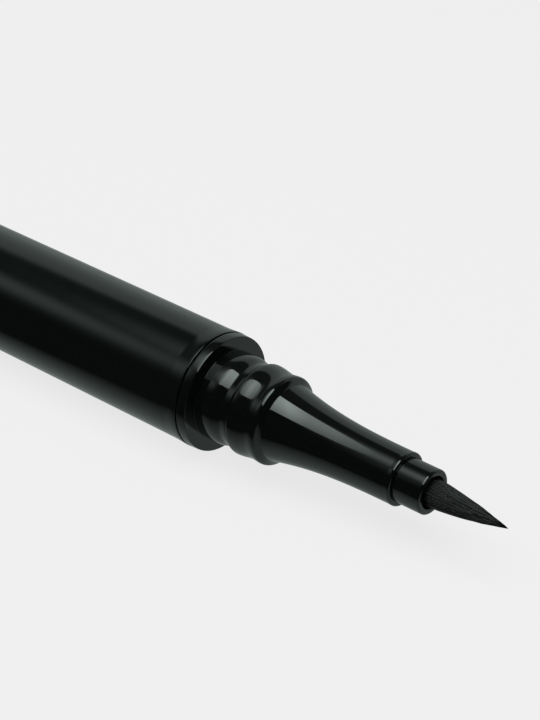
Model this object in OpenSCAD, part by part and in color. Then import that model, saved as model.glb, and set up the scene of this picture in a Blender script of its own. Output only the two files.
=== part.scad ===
// Liquid eyeliner pen with its cap taken off, lying along +X.
// The flat tail face is at the origin and the brush points to +X. Lengths are in millimetres.

/* [Barrel] */
// Length from the flat tail face to the barrel's mouth
barrel_len = 90; // [76:1:110]
// Outer diameter of the barrel
barrel_d = 11.4; // [10.6:0.1:13]
// Wall of the barrel sleeve
barrel_wall = 0.6; // [0.5:0.05:0.8]
// How far the rim at the mouth swells over the barrel
rim_swell = 0.08; // [0.02:0.02:0.2]
// Length of the swollen rim
rim_len = 1.6; // [0.8:0.1:2]
// Thickness of the tail crown's disc
crown_t = 1.6; // [1.2:0.1:2.4]
// Length of the tail crown's spigot in the sleeve
crown_spigot_len = 3.9; // [3:0.1:5]
// Rounding of the crowns' outer edges
crown_round = 0.45; // [0.2:0.05:0.8]

/* [Tank] */
// Wall of the ink tank
tank_wall = 0.7; // [0.6:0.05:0.9]
// Thickness of the tank plug's disc
plug_t = 1; // [0.8:0.1:1.6]
// Length of the tank plug's spigot
plug_spigot_len = 6; // [4:0.5:9]
// Section diameter of both seal rings
seal_d = 0.6; // [0.5:0.05:0.7]
// Diameter of the mixing ball
ball_d = 4; // [3:0.5:4.5]

/* [Neck] */
// Width of the glossy collar
collar_w = 1.07; // [0.8:0.01:2]
// How far the root's radius lies inside the barrel's, for the face on which the cap lands
collar_land = 1.28; // [1.1:0.02:1.4]
// Length of the neck's part in the sleeve
neck_land_len = 6; // [4:0.5:9]
// Length of the neck's spigot in the tank
neck_spigot_len = 8; // [6:0.5:10]
// Length of the root, from the collar to the waist
root_len = 2.99; // [2.4:0.01:4]
// How far the radius drops from the root to the waist
root_drop = 0.32; // [0.2:0.02:0.44]
// Length of the waist, from the root to the snap bead's back edge
waist_len = 0.49; // [0.35:0.01:1]
// Wall between the waist and the neck's bore
neck_wall = 0.8; // [0.7:0.05:0.95]

/* [Nozzle] */
// Length of the snap bead, from its back edge to the saddle in front of it
bead_len = 2.31; // [1.8:0.03:3]
// Height of the snap bead over the waist
bead_h = 0.39; // [0.3:0.01:0.44]
// Width of the ring in front of the saddle
ring_w = 1.23; // [0.95:0.01:1.6]
// How far the cone starts inside the ring's radius
ring_step = 0.63; // [0.55:0.01:0.75]
// Length of the fillet between the ring and the cone
fillet_len = 0.47; // [0.35:0.02:0.7]
// Length of the cone, from the fillet to the front shoulder
cone_len = 13.52; // [12:0.02:17]
// Width of the nozzle's front shoulder around the brush holder
shoulder_w = 0.41; // [0.3:0.01:0.6]
// Length of the nozzle's spigot in the neck
nozzle_spigot_len = 4.6; // [3.6:0.2:5.6]

/* [Brush] */
// Radius of the brush where it leaves its holder
brush_r = 1.32; // [1.1:0.02:1.5]
// Length of the brush out of its holder
brush_len = 8; // [6:0.25:10]
// Dark gap between the brush and its holder
brush_gap = 0.25; // [0.15:0.01:0.3]
// Wall of the brush holder at its lip
holder_wall = 0.57; // [0.45:0.01:0.7]
// Length of the holder out of the nozzle
holder_out = 2.97; // [2:0.01:5]
// Length of the holder in the nozzle
holder_in = 5.5; // [4.5:0.25:6.5]
// Radius of the feed core
core_r = 0.9; // [0.7:0.05:1]
// Wall of the feed pipe
pipe_wall = 0.4; // [0.3:0.05:0.45]

/* [Collector] */
// Thickness of a collector fin
fin_t = 0.45; // [0.35:0.05:0.6]
// Gap between collector fins
fin_gap = 0.5; // [0.35:0.05:0.7]
// Wall of the collector's tube under its fins
fin_tube_wall = 0.85; // [0.6:0.05:1.2]
// Width of the slit along the fins
slit_w = 0.35; // [0.2:0.05:0.6]

/* [Cap] */
// How much larger than the barrel the cap's diameter is
cap_over = 0.1; // [0:0.05:0.3]
// Wall of the cap shell
cap_wall = 0.6; // [0.5:0.05:0.62]
// Clear distance from the brush's point to the cap's mouth, with the cap taken off
cap_off_gap = 20; // [12:1:60]
// Wall of the inner cap
inner_wall = 0.6; // [0.5:0.05:0.7]
// Travel of the inner cap against its spring
inner_travel = 1.2; // [0.6:0.1:1.5]
// Free space beyond the brush's point in the closed cap
tip_room = 1.8; // [1:0.1:4]

/* [Cap spring] */
// Wire diameter of the inner cap's spring
wire_d = 0.45; // [0.35:0.05:0.5]
// Mean radius of the spring's curls
curl_r = 2.45; // [2.3:0.05:2.6]
// Rise of each curl
curl_pitch = 1.1; // [1:0.05:1.5]
// Number of curls
curl_count = 4.5; // [3.5:1:8.5]

/* [Fits] */
// Clearance between pieces seated in each other
seat = 0.03; // [0.02:0.01:0.05]
// Radial clearance between pieces that slide in each other
slide = 0.08; // [0.05:0.01:0.1]
// Width of the open seams between outer pieces
seam = 0.14; // [0.08:0.02:0.2]
// Gap at a free end, such as a ball's or a spring's
rest_gap = 0.15; // [0.1:0.05:0.25]

/* [Hidden] */
$fn = 72;

// Overrun of cuts
over = 0.5;
// Points on a rounded edge and on a curved stretch
round_steps = 4;
curve_steps = 10;

// Small edge radii
edge = 0.1;
collar_edge = 0.16;
rim_edge = 0.05;
lip_edge = 0.22;

// Barrel and tail
barrel_r = barrel_d / 2;
bore_r = barrel_r - barrel_wall;
mouth_x = barrel_len;
// The exponent by which the rim swells toward the mouth
rim_power_share = 1.6;
spigot_wall = 0.9;

// Tank
tank_r = bore_r - seat;
tank_bore_r = tank_r - tank_wall;
plug_x = crown_t + crown_spigot_len + seat;
tank_x0 = plug_x + plug_t + seat;
tank_x1 = mouth_x - neck_land_len - seat;
plug_end_x = tank_x0 + plug_spigot_len;
spigot_r = tank_bore_r - seat;
seal_r = tank_bore_r - seat / 2 - seal_d / 2;
groove_r = seal_r - seal_d / 2 - seat / 2;
groove_w = seal_d + 2 * seat;
ball_r = ball_d / 2;
ball_x0 = plug_end_x + ball_r + rest_gap;

// Neck: radii step down from the barrel's, stations run forward from the mouth
collar_x0 = mouth_x + seam;
collar_x1 = collar_x0 + collar_w;
collar_over = 0.05;
collar_r = barrel_r + collar_over;
root_r = barrel_r - collar_land;
waist_r = root_r - root_drop;
neck_bore_r = waist_r - neck_wall;
// Share of the root that is straight, before it rounds down to the waist, and the exponent that
// makes it fall more steeply toward the waist
root_flat_share = 0.3;
root_power_share = 2;
// How far the waist rises to its front end
waist_rise = 0.04;
root_round_x = collar_x1 + root_len * root_flat_share;
waist_x = collar_x1 + root_len;
neck_x0 = mouth_x - neck_land_len;
neck_x1 = waist_x + waist_len;
neck_spigot_x0 = neck_x0 - neck_spigot_len;

// Nozzle: the snap bead and the ring are moulded on it, and it seats on the neck's front end
bead_x0 = neck_x1 + seam / 2;
bead_r = waist_r + bead_h;
// Heights over the waist, as shares of the bead's: the top of its back edge, the saddle, the ring
bead_edge_share = 0.72;
saddle_share = 0.45;
ring_share = 0.64;
// Places of the back edge's top and of the crest, as shares of the bead's length
bead_edge_at_share = 0.05;
crest_at_share = 0.2;
ring_x0 = bead_x0 + bead_len;
ring_x1 = ring_x0 + ring_w;
ring_r = waist_r + bead_h * ring_share;
// The ring's nose: its length and drop, and the exponent by which it falls
nose_len = 0.42;
nose_drop = 0.17;
nose_power_share = 3;
nose_x = ring_x1 - nose_len;
nose_end_r = ring_r - nose_drop;
cone_x0 = ring_x1 + fillet_len;
cone_x1 = cone_x0 + cone_len;
cone_base_r = ring_r - ring_step;
holder_r = brush_r + brush_gap + holder_wall;
cone_end_r = holder_r + shoulder_w;
cone_flare = 0.03;
cone_flare_len = 0.6;
// The exponents of the cone's hollow curve and of the fillet's
cone_hollow_share = 2.8;
fillet_hollow_share = 1.3;
nozzle_spigot_r = neck_bore_r - seat;
nozzle_spigot_wall = 0.55;
nozzle_spigot_x0 = bead_x0 - nozzle_spigot_len;
// The throat behind the holder's pocket is open for the retainer and the feed pipe
holder_step = 0.04;
pocket_r = holder_r - holder_step;
pocket_x0 = cone_x1 - holder_in;
throat_step = 0.1;
throat_r = pocket_r - throat_step;
throat_len = 4.2;

// Brush, its holder and retainer
holder_x1 = cone_x1 + holder_out;
holder_in_r = pocket_r - seat;
holder_mouth_r = brush_r + brush_gap;
backing_r = brush_r;
root_bore_r = backing_r + slide;
mouth_bore_len = 4;
holder_step_x = holder_x1 - mouth_bore_len;
backing_x1 = holder_x1 - lip_edge;
retainer_wall = 0.4;
retainer_r = core_r + pipe_wall + retainer_wall;
retainer_x0 = pocket_x0 + seat;
retainer_len = 3.1;
retainer_x1 = retainer_x0 + retainer_len;
backing_x0 = retainer_x1 + seat;
tip_x = holder_x1 + brush_len;
// Strands stand on the triangles of a disc of rings: the disc has ring_count rings, and each
// ring has sector_count more corners than the one inside it
sector_count = 5;
ring_count = 8;
strand_share = 0.8;
// Place of the strands' knee along the brush, and the bundle's width there
knee_share = 0.5;
knee_width_share = 0.66;
// How far short of the point the shortest strands end
ragged_share = 0.2;
// How much further than the point the strands' lines would meet
apex_share = 1.06;

// Collector and feed
collector_r = neck_bore_r - seat;
collector_x0 = neck_spigot_x0 + seal_d;
collector_x1 = nozzle_spigot_x0 - seat;
fin_pitch = fin_t + fin_gap;
core_bore_r = core_r + slide;
fin_root_r = core_bore_r + fin_tube_wall;
fin_count = floor((collector_x1 - collector_x0 - fin_t) / fin_pitch);
stem_x0 = collector_x0 + fin_count * fin_pitch;
stem_r = nozzle_spigot_r - nozzle_spigot_wall - seat;
stem_x1 = bead_x0;
pipe_r = core_r + pipe_wall;
pipe_pocket_len = 3;
pipe_x0 = stem_x1 - pipe_pocket_len;
pipe_x1 = retainer_x0 + retainer_len / 2;
core_wick_len = 3;
core_x0 = neck_spigot_x0 - core_wick_len;
core_x1 = backing_x0 - seat;
ball_x1 = core_x0 - ball_r - rest_gap;

// Cap: places are measured forward from its mouth, for the closed cap
cap_r = barrel_r + cap_over / 2;
cap_bore_r = cap_r - cap_wall;
cap_edge = 0.15;
seat_x = collar_x1 + seat;
liner_r = cap_bore_r - seat;
rib_r = bead_r + slide;
rib_h = 0.08;
rib_w = 0.9;
liner_bore_r = rib_r + rib_h;
liner_lead = 1.4;
rib_at = bead_x0 - seat_x - rib_w;
stop_lead = 4.66;
stop_at = ring_x1 - seat_x + stop_lead;
stop_w = 1;
lip_lead = 1.2;
inner_at = stop_at - lip_lead;
inner_clear = 0.1;
inner_bore_r = cone_r(seat_x + inner_at) + inner_clear;
inner_r = inner_bore_r + inner_wall;
stop_r = inner_r + slide;
flange_at = stop_at + stop_w + seat;
flange_w = 1;
flange_r = liner_bore_r - slide;
floor_at = tip_x - seat_x + tip_room;
floor_t = 0.8;
inner_end_at = floor_at + floor_t;
boss_r = 1.6;
boss_len = 1;
// The spring's wire ends in two bends that run along the pen, so that its end faces stand square
spring_bend = 0.5;
spring_len = 2 * (wire_d + spring_bend) + curl_pitch * curl_count;
spring_at = inner_end_at + rest_gap;
// The peg in the cap's crown guides the spring and stops the inner cap at the end of its travel
peg_len = spring_len + rest_gap - boss_len - inner_travel;
cap_spigot_len = 3.4;
cap_shell_len = spring_at + spring_len + rest_gap - seam;
cap_len = cap_shell_len + seam + crown_t;
cap_x = tip_x + cap_off_gap;
cap_travel = cap_x - seat_x;

// Spring: rings on each curl, sides of the wire and rings on each end bend
curl_rings = 8;
wire_sides = 6;
bend_rings = 2;

// Radius of the nozzle's cone at a station, or of its line carried on behind it
function cone_r(x) =
    let (t = min(1, (x - cone_x0) / cone_len))
    cone_end_r + (cone_base_r - cone_end_r) * pow(1 - t, cone_hollow_share);

// Points of an arc, from one angle to another
function arc(x, r, size, from, to) =
    [for (i = [0 : round_steps]) let (a = from + (to - from) * i / round_steps)
        [x + size * cos(a), r + size * sin(a)]];

// A rounded outer edge at the rear and at the front end of a turned piece
function rear_edge(x, r, size) = arc(x + size, r - size, size, 180, 90);
function front_edge(x, r, size) = arc(x - size, r - size, size, 90, 0);

// The same for the inner edges of a bore
function front_bore_edge(x, r, size) = arc(x - size, r + size, size, 0, -90);
function rear_bore_edge(x, r, size) = arc(x + size, r + size, size, -90, -180);

// A soft curve from one place to another, level at both: half a wave without its first point.
// A power over 1 puts more of its fall toward the second place
function wave(x0, r0, x1, r1, power = 1) =
    [for (i = [1 : curve_steps]) let (t = i / curve_steps)
        [x0 + (x1 - x0) * t, r0 + (r1 - r0) * (1 - cos(180 * pow(t, power))) / 2]];

// A solid turned about X from points of station and radius
module turned(points)
    rotate([0, 90, 0])
        rotate_extrude()
            polygon([for (p = points) [p[1], p[0]]]);

// A plug: a disc at the rear end, a spigot forward of it, and a hollow that opens forward,
// with a peg on its floor where a radius for one is given
module plug(x, disc_r, disc_t, spigot, spigot_len, wall, round, peg_r = 0, peg_len = 0)
    turned(concat(
        [[x, 0]],
        rear_edge(x, disc_r, round),
        [
            [x + disc_t, disc_r], [x + disc_t, spigot],
            [x + disc_t + spigot_len, spigot], [x + disc_t + spigot_len, spigot - wall],
            [x + disc_t, spigot - wall]
        ],
        peg_r > 0 ? [[x + disc_t, peg_r], [x + disc_t + peg_len, peg_r]] : [],
        [[x + disc_t + peg_len, 0]]
    ));

// A ring groove cut round a spigot
module ring_groove(x)
    turned([
        [x - groove_w / 2, groove_r], [x - groove_w / 2, tank_r + over],
        [x + groove_w / 2, tank_r + over], [x + groove_w / 2, groove_r]
    ]);

// A seal ring round the X axis
module seal_ring(x)
    color("#2a2422")
        translate([x, 0, 0])
            rotate([0, 90, 0])
                rotate_extrude()
                    translate([seal_r, 0])
                        circle(d = seal_d, $fn = 24);

module barrel_sleeve()
    color("#1b1b1c")
        turned(concat(
            rear_edge(crown_t + seam, barrel_r, edge),
            [for (i = [0 : curve_steps]) let (t = i / curve_steps)
                [mouth_x - rim_len + (rim_len - 2 * rim_edge) * t,
                 barrel_r + rim_swell * sin(90 * pow(t, rim_power_share))]],
            front_edge(mouth_x, barrel_r + rim_swell, rim_edge),
            [[mouth_x, bore_r], [crown_t + seam, bore_r]]
        ));

module tail_crown()
    color("#1b1b1c")
        plug(0, barrel_r, crown_t, bore_r - seat, crown_spigot_len, spigot_wall, crown_round);

module ink_tank()
    color("#d8d5cc")
        turned([
            [tank_x0, tank_bore_r], [tank_x0, tank_r], [tank_x1, tank_r], [tank_x1, tank_bore_r]
        ]);

module tank_plug()
    color("#e4e2dc")
        difference() {
            plug(plug_x, tank_r, plug_t, spigot_r, plug_spigot_len, spigot_wall + seal_d, edge);
            ring_groove(tank_x0 + plug_spigot_len / 2);
        }

module tail_seal_ring() seal_ring(tank_x0 + plug_spigot_len / 2);

module mixing_ball()
    color("silver")
        translate([ball_x0, 0, ball_r + rest_gap - tank_bore_r])
            sphere(d = ball_d);

module neck_coupler()
    color("#0d0e0e")
        difference() {
            turned(concat(
                [
                    [neck_spigot_x0, neck_bore_r], [neck_spigot_x0, spigot_r - edge],
                    [neck_spigot_x0 + edge, spigot_r],
                    [neck_x0, spigot_r], [neck_x0, bore_r - seat], [collar_x0, bore_r - seat]
                ],
                rear_edge(collar_x0, collar_r, edge),
                front_edge(collar_x1, collar_r, collar_edge),
                [[collar_x1, root_r], [root_round_x, root_r]],
                wave(root_round_x, root_r, waist_x, waist_r, root_power_share),
                [[neck_x1, waist_r + waist_rise], [neck_x1, neck_bore_r]]
            ));
            ring_groove(neck_spigot_x0 + neck_spigot_len / 2);
        }

module neck_seal_ring() seal_ring(neck_spigot_x0 + neck_spigot_len / 2);

module collector()
    color("#c9c6bd")
        difference() {
            turned(concat(
                [[collector_x0, core_bore_r]],
                [for (i = [0 : fin_count - 1]) for (p = fin_points(collector_x0 + i * fin_pitch)) p],
                [
                    [stem_x0, fin_root_r], [stem_x0, collector_r],
                    [stem_x0 + fin_t, collector_r], [stem_x0 + fin_t, stem_r],
                    [stem_x1, stem_r], [stem_x1, pipe_r + seat],
                    [pipe_x0, pipe_r + seat], [pipe_x0, core_bore_r]
                ]
            ));
            translate([collector_x0 + fin_t, -slit_w / 2, fin_root_r])
                cube([stem_x0 - collector_x0 - fin_t - fin_gap / 2, slit_w, collector_r + over]);
        }

function fin_points(x) =
    [[x, fin_root_r], [x, collector_r], [x + fin_t, collector_r], [x + fin_t, fin_root_r]];

module feed_core()
    color("#4a4a4c")
        turned([[core_x0, 0], [core_x0, core_r], [core_x1, core_r], [core_x1, 0]]);

module feed_pipe()
    color("#dedbd2")
        turned([
            [pipe_x0 + seat, core_r + seat], [pipe_x0 + seat, pipe_r],
            [pipe_x1, pipe_r], [pipe_x1, core_r + seat]
        ]);

module nozzle_cone()
    color("#0d0e0e")
        turned(concat(
            [
                [nozzle_spigot_x0, stem_r + seat], [nozzle_spigot_x0, nozzle_spigot_r],
                [bead_x0, nozzle_spigot_r], [bead_x0, waist_r + waist_rise]
            ],
            bead_points(),
            ring_points(),
            [for (i = [0 : 2 * curve_steps])
                let (x = cone_x0 + (cone_len - cone_flare_len) * i / (2 * curve_steps))
                [x, cone_r(x)]],
            front_edge(cone_x1, cone_end_r + cone_flare, lip_edge),
            [
                [cone_x1, pocket_r], [pocket_x0, pocket_r], [pocket_x0, throat_r],
                [pocket_x0 - throat_len, throat_r], [cone_x0, stem_r + seat]
            ]
        ));

// The snap bead: the steep back edge, a low crest, and the saddle between the bead and the ring
function bead_points() =
    let (
        edge_x = bead_x0 + bead_len * bead_edge_at_share,
        edge_r = waist_r + bead_h * bead_edge_share,
        crest_x = bead_x0 + bead_len * crest_at_share,
        saddle_r = waist_r + bead_h * saddle_share
    )
    concat(
        [for (i = [0 : round_steps]) let (t = i / round_steps)
            [edge_x + (crest_x - edge_x) * t, edge_r + (bead_r - edge_r) * sin(90 * t)]],
        wave(crest_x, bead_r, ring_x0, saddle_r),
        wave(ring_x0, saddle_r, nose_x, ring_r)
    );

// The ring's nose and the fillet that leads from it to the cone
function ring_points() =
    let (nose_steps = curve_steps / 2, rise = nose_end_r - cone_r(ring_x1))
    concat(
        [for (i = [1 : nose_steps]) let (t = i / nose_steps)
            [nose_x + nose_len * t, ring_r - nose_drop * pow(t, nose_power_share)]],
        [for (i = [1 : nose_steps - 1])
            let (t = i / nose_steps, x = ring_x1 + fillet_len * t)
            [x, cone_r(x) + rise * pow(1 - t, fillet_hollow_share)]]
    );

module brush_holder()
    color("#0d0e0e")
        turned(concat(
            [
                [pocket_x0 + seat, retainer_r + seat], [pocket_x0 + seat, holder_in_r],
                [cone_x1 + seat, holder_in_r], [cone_x1 + seat, holder_r]
            ],
            front_edge(holder_x1, holder_r, lip_edge),
            front_bore_edge(holder_x1, holder_mouth_r, edge),
            [
                [holder_step_x, holder_mouth_r], [holder_step_x, root_bore_r],
                [backing_x0, root_bore_r], [backing_x0, retainer_r + seat]
            ]
        ));

module brush_retainer()
    color("#d2cfc6")
        turned([
            [retainer_x0, pipe_r + seat], [retainer_x0, retainer_r], [retainer_x1, retainer_r],
            [retainer_x1, core_r + seat], [pipe_x1 + seat, core_r + seat],
            [pipe_x1 + seat, pipe_r + seat]
        ]);

// The disc of rings that the strands stand on: the number of the first corner of ring k,
// a corner's place, and the triangles between one ring and the next
function ring_first(k) = k == 0 ? 0 : 1 + sector_count * k * (k - 1) / 2;
function ring_corner(k, j) = k == 0 ? 0 : ring_first(k) + j % (sector_count * k);
disc_corners = [for (k = [0 : ring_count]) for (j = [0 : max(1, sector_count * k) - 1])
    let (a = k == 0 ? 0 : 360 * j / (sector_count * k))
    [k / ring_count * cos(a), k / ring_count * sin(a)]];
disc_cells = [for (k = [1 : ring_count]) for (s = [0 : sector_count - 1]) each concat(
    [for (i = [0 : k - 1]) [
        ring_corner(k, s * k + i), ring_corner(k, s * k + i + 1),
        ring_corner(k - 1, s * (k - 1) + i)]],
    k == 1 ? [] : [for (i = [0 : k - 2]) [
        ring_corner(k - 1, s * (k - 1) + i), ring_corner(k, s * k + i + 1),
        ring_corner(k - 1, s * (k - 1) + i + 1)]]
)];

// How far along the brush a strand ends, spread evenly by the golden ratio
golden_share = 0.618034;
function strand_end_share(i) = 1 - ragged_share * (i * golden_share - floor(i * golden_share));

// A place in the bundle: all strands draw in alike toward one point, so none can cross
function bundle_width(t) = t < knee_share
    ? 1 - (1 - knee_width_share) * t / knee_share
    : knee_width_share * (apex_share - t) / (apex_share - knee_share);
function bundle_place(p, t) =
    [backing_x1 + (tip_x - backing_x1) * t,
     brush_r * bundle_width(t) * p[0], brush_r * bundle_width(t) * p[1]];

module brush_tip()
    color("#3a3b3c")
        let (
            corner_count = len(disc_corners),
            cell_count = len(disc_cells),
            rim_count = sector_count * ring_count,
            rim = ring_first(ring_count),
            back = corner_count,
            back_mid = back + rim_count,
            feet = back_mid + 1,
            knees = feet + 3 * cell_count,
            ends = knees + 3 * cell_count,
            mids = [for (c = disc_cells)
                (disc_corners[c[0]] + disc_corners[c[1]] + disc_corners[c[2]]) / 3],
            insets = [for (i = [0 : cell_count - 1]) for (v = disc_cells[i])
                mids[i] + (disc_corners[v] - mids[i]) * strand_share]
        )
        polyhedron(
            points = concat(
                [for (p = disc_corners) bundle_place(p, 0)],
                [for (j = [0 : rim_count - 1]) let (p = disc_corners[rim + j])
                    [backing_x0, backing_r * p[0], backing_r * p[1]]],
                [[backing_x0, 0, 0]],
                [for (p = insets) bundle_place(p, 0)],
                [for (p = insets) bundle_place(p, knee_share)],
                [for (i = [0 : cell_count - 1]) bundle_place(mids[i], strand_end_share(i))]
            ),
            faces = concat(
                [for (j = [0 : rim_count - 1]) let (n = (j + 1) % rim_count)
                    each [[rim + j, back + n, back + j], [rim + j, rim + n, back + n],
                          [back_mid, back + j, back + n]]],
                [for (i = [0 : cell_count - 1]) let (c = disc_cells[i], f = feet + 3 * i)
                    for (e = [0 : 2]) let (n = (e + 1) % 3)
                        each [[c[e], f + n, c[n]], [c[e], f + e, f + n]]],
                [for (i = [0 : cell_count - 1]) let (f = feet + 3 * i, k = knees + 3 * i)
                    for (e = [0 : 2]) let (n = (e + 1) % 3)
                        each [[f + e, k + n, f + n], [f + e, k + e, k + n],
                              [k + e, ends + i, k + n]]]
            )
        );

module cap_shell()
    color("#1b1b1c")
        turned(concat(
            rear_edge(cap_x, cap_r, cap_edge),
            [
                [cap_x + cap_shell_len - edge, cap_r], [cap_x + cap_shell_len, cap_r - edge],
                [cap_x + cap_shell_len, cap_bore_r]
            ],
            rear_bore_edge(cap_x, cap_bore_r, cap_edge)
        ));

module cap_liner()
    color("#26282a")
        turned([
            [cap_x + liner_lead, liner_r - edge], [cap_x + liner_lead + edge, liner_r],
            [cap_x + cap_shell_len - seat, liner_r],
            [cap_x + cap_shell_len - seat, liner_bore_r],
            [cap_x + stop_at + stop_w, liner_bore_r], [cap_x + stop_at + stop_w, stop_r],
            [cap_x + stop_at, stop_r], [cap_x + stop_at, liner_bore_r],
            [cap_x + rib_at + rib_w, liner_bore_r], [cap_x + rib_at + rib_w / 2, rib_r],
            [cap_x + rib_at, liner_bore_r], [cap_x + liner_lead, liner_bore_r]
        ]);

module inner_cap()
    color("#cfcdc6")
        turned([
            [cap_x + inner_at, inner_bore_r], [cap_x + inner_at, inner_r - edge],
            [cap_x + inner_at + edge, inner_r],
            [cap_x + flange_at, inner_r], [cap_x + flange_at, flange_r],
            [cap_x + flange_at + flange_w, flange_r], [cap_x + flange_at + flange_w, inner_r],
            [cap_x + inner_end_at, inner_r], [cap_x + inner_end_at, boss_r],
            [cap_x + inner_end_at + boss_len, boss_r], [cap_x + inner_end_at + boss_len, 0],
            [cap_x + floor_at, 0], [cap_x + floor_at, inner_bore_r]
        ]);

// The spring's centre line unrolled on its cylinder: way round and height
function spring_flat() =
    let (
        rise = curl_pitch * curl_count,
        way = 2 * PI * curl_r * curl_count,
        low = wire_d + spring_bend,
        ring_n = curl_rings * curl_count
    )
    concat(
        [[0, 0], [0, wire_d]],
        [for (i = [1 : bend_rings]) let (a = 90 * i / (bend_rings + 1))
            [spring_bend * (1 - cos(a)), wire_d + spring_bend * sin(a)]],
        [for (i = [0 : ring_n]) let (t = i / ring_n)
            [spring_bend + (way - 2 * spring_bend) * t, low + rise * t]],
        [for (i = [1 : bend_rings]) let (a = 90 * i / (bend_rings + 1))
            [way - spring_bend * (1 - sin(a)), low + rise + spring_bend * (1 - cos(a))]],
        [[way, spring_len - wire_d], [way, spring_len]]
    );
spring_line = [for (p = spring_flat()) let (a = p[0] / curl_r * 180 / PI)
    [p[1], curl_r * cos(a), curl_r * sin(a)]];
spring_rings = len(spring_line);
far_rings = curl_rings - 2;
spring_gap = min([for (i = [0 : spring_rings - 1 - far_rings])
    for (j = [i + far_rings : spring_rings - 1])
        norm(spring_line[i] - spring_line[j])]) - wire_d;
echo(spring_gap = spring_gap, cap_travel = cap_travel, cap_x = cap_x, cap_len = cap_len,
     ball_travel = ball_x1 - ball_x0);

// One ring of the wire: across the wire and square to the centre line's direction
function unit(v) = v / norm(v);
function wire_ring(i) =
    let (
        p = spring_line[i],
        before = spring_line[max(0, i - 1)],
        after = spring_line[min(spring_rings - 1, i + 1)],
        ends = i == 0 || i == spring_rings - 1,
        along = ends ? [1, 0, 0] : unit(after - before),
        out = unit([0, p[1], p[2]]),
        side = unit(cross(along, out)),
        up = cross(side, along)
    )
    [for (s = [0 : wire_sides - 1]) let (a = 360 * s / wire_sides)
        p + wire_d / 2 * (up * cos(a) + side * sin(a))];

module inner_cap_spring()
    color("#a9abad")
        translate([cap_x + spring_at, 0, 0])
            polyhedron(
                points = [for (i = [0 : spring_rings - 1]) each wire_ring(i)],
                faces = concat(
                    [for (s = [1 : wire_sides - 2]) [0, s, s + 1]],
                    [for (i = [0 : spring_rings - 2]) for (s = [0 : wire_sides - 1])
                        let (
                            a = i * wire_sides + s,
                            b = i * wire_sides + (s + 1) % wire_sides
                        )
                        each [[a, b + wire_sides, b], [a, a + wire_sides, b + wire_sides]]],
                    [let (last = (spring_rings - 1) * wire_sides)
                        for (s = [1 : wire_sides - 2]) [last, last + s + 1, last + s]]
                )
            );

module cap_crown()
    color("#1b1b1c")
        translate([cap_x + cap_len, 0, 0])
            mirror([1, 0, 0])
                plug(0, cap_r, crown_t, liner_bore_r - seat, seam + cap_spigot_len, spigot_wall,
                     crown_round, boss_r, peg_len);

barrel_sleeve();
tail_crown();
ink_tank();
tank_plug();
tail_seal_ring();
mixing_ball();
neck_coupler();
neck_seal_ring();
collector();
feed_core();
feed_pipe();
nozzle_cone();
brush_holder();
brush_retainer();
brush_tip();
cap_shell();
cap_liner();
inner_cap();
inner_cap_spring();
cap_crown();
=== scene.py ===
"""Looks of the liquid eyeliner pen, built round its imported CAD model.

The pen lies along +X with its flat tail at the origin, its cap taken off and lying in line with it.
Sizes here are in millimetres unless a name says otherwise. A place along the pen is a station, and
a distance from its axis is a radius.
"""
import logging
import math
from dataclasses import dataclass
from enum import Enum
from typing import Callable, ClassVar

import bpy
import numpy as np
from mathutils import Matrix, Vector


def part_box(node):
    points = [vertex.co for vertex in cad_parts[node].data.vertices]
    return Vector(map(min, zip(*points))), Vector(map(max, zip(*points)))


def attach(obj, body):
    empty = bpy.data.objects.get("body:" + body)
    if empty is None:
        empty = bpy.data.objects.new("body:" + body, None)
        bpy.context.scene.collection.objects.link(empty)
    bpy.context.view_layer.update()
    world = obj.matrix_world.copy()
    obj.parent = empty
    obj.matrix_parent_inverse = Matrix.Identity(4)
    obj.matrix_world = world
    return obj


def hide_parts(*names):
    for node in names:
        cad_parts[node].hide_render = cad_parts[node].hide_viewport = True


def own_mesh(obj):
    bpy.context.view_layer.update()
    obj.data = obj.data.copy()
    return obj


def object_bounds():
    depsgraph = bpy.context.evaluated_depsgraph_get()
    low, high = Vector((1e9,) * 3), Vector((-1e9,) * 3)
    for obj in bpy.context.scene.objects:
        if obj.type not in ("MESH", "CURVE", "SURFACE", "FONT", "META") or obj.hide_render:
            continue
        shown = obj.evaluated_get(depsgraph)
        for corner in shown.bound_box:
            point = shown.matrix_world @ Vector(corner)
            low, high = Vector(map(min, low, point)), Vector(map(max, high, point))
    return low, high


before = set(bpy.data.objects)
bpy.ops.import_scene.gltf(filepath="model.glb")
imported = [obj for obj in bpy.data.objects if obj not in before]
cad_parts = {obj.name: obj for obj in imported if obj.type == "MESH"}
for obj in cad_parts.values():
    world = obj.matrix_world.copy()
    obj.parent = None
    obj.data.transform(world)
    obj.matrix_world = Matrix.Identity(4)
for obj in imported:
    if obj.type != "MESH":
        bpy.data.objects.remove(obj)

CAD_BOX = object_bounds()
LOG = logging.getLogger("eyeliner_pen")
Piece = bpy.types.Object
Socket = bpy.types.NodeSocket

# One millimetre in Blender's metres
MM = 0.001
# Facets round a turned piece, and points on each rounded edge and on each curve of an outline
FACETS = 192
ROUND_POINTS = 6
CURVE_POINTS = 24
# Short runs beside a rounded edge keep the shading of the flats true, and long runs are cut up
EDGE_RUN = 0.04
LONG_RUN = 1.5
# The share of a side that a rounding may take
SIDE_SHARE = 0.48
# The range that noise mostly keeps to
NOISE_SPAN = (0.3, 0.7)
# Curvature, in turns of direction per millimetre, at which an edge counts as fully exposed
EXPOSED_EDGE = 4.0
# Lengths and turns below these count as none, and shorter runs and divisors are raised to these
NO_LENGTH, NO_TURN = 1e-6, 1e-3
SHORT_RUN, TINY = 1e-4, 1e-9
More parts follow.
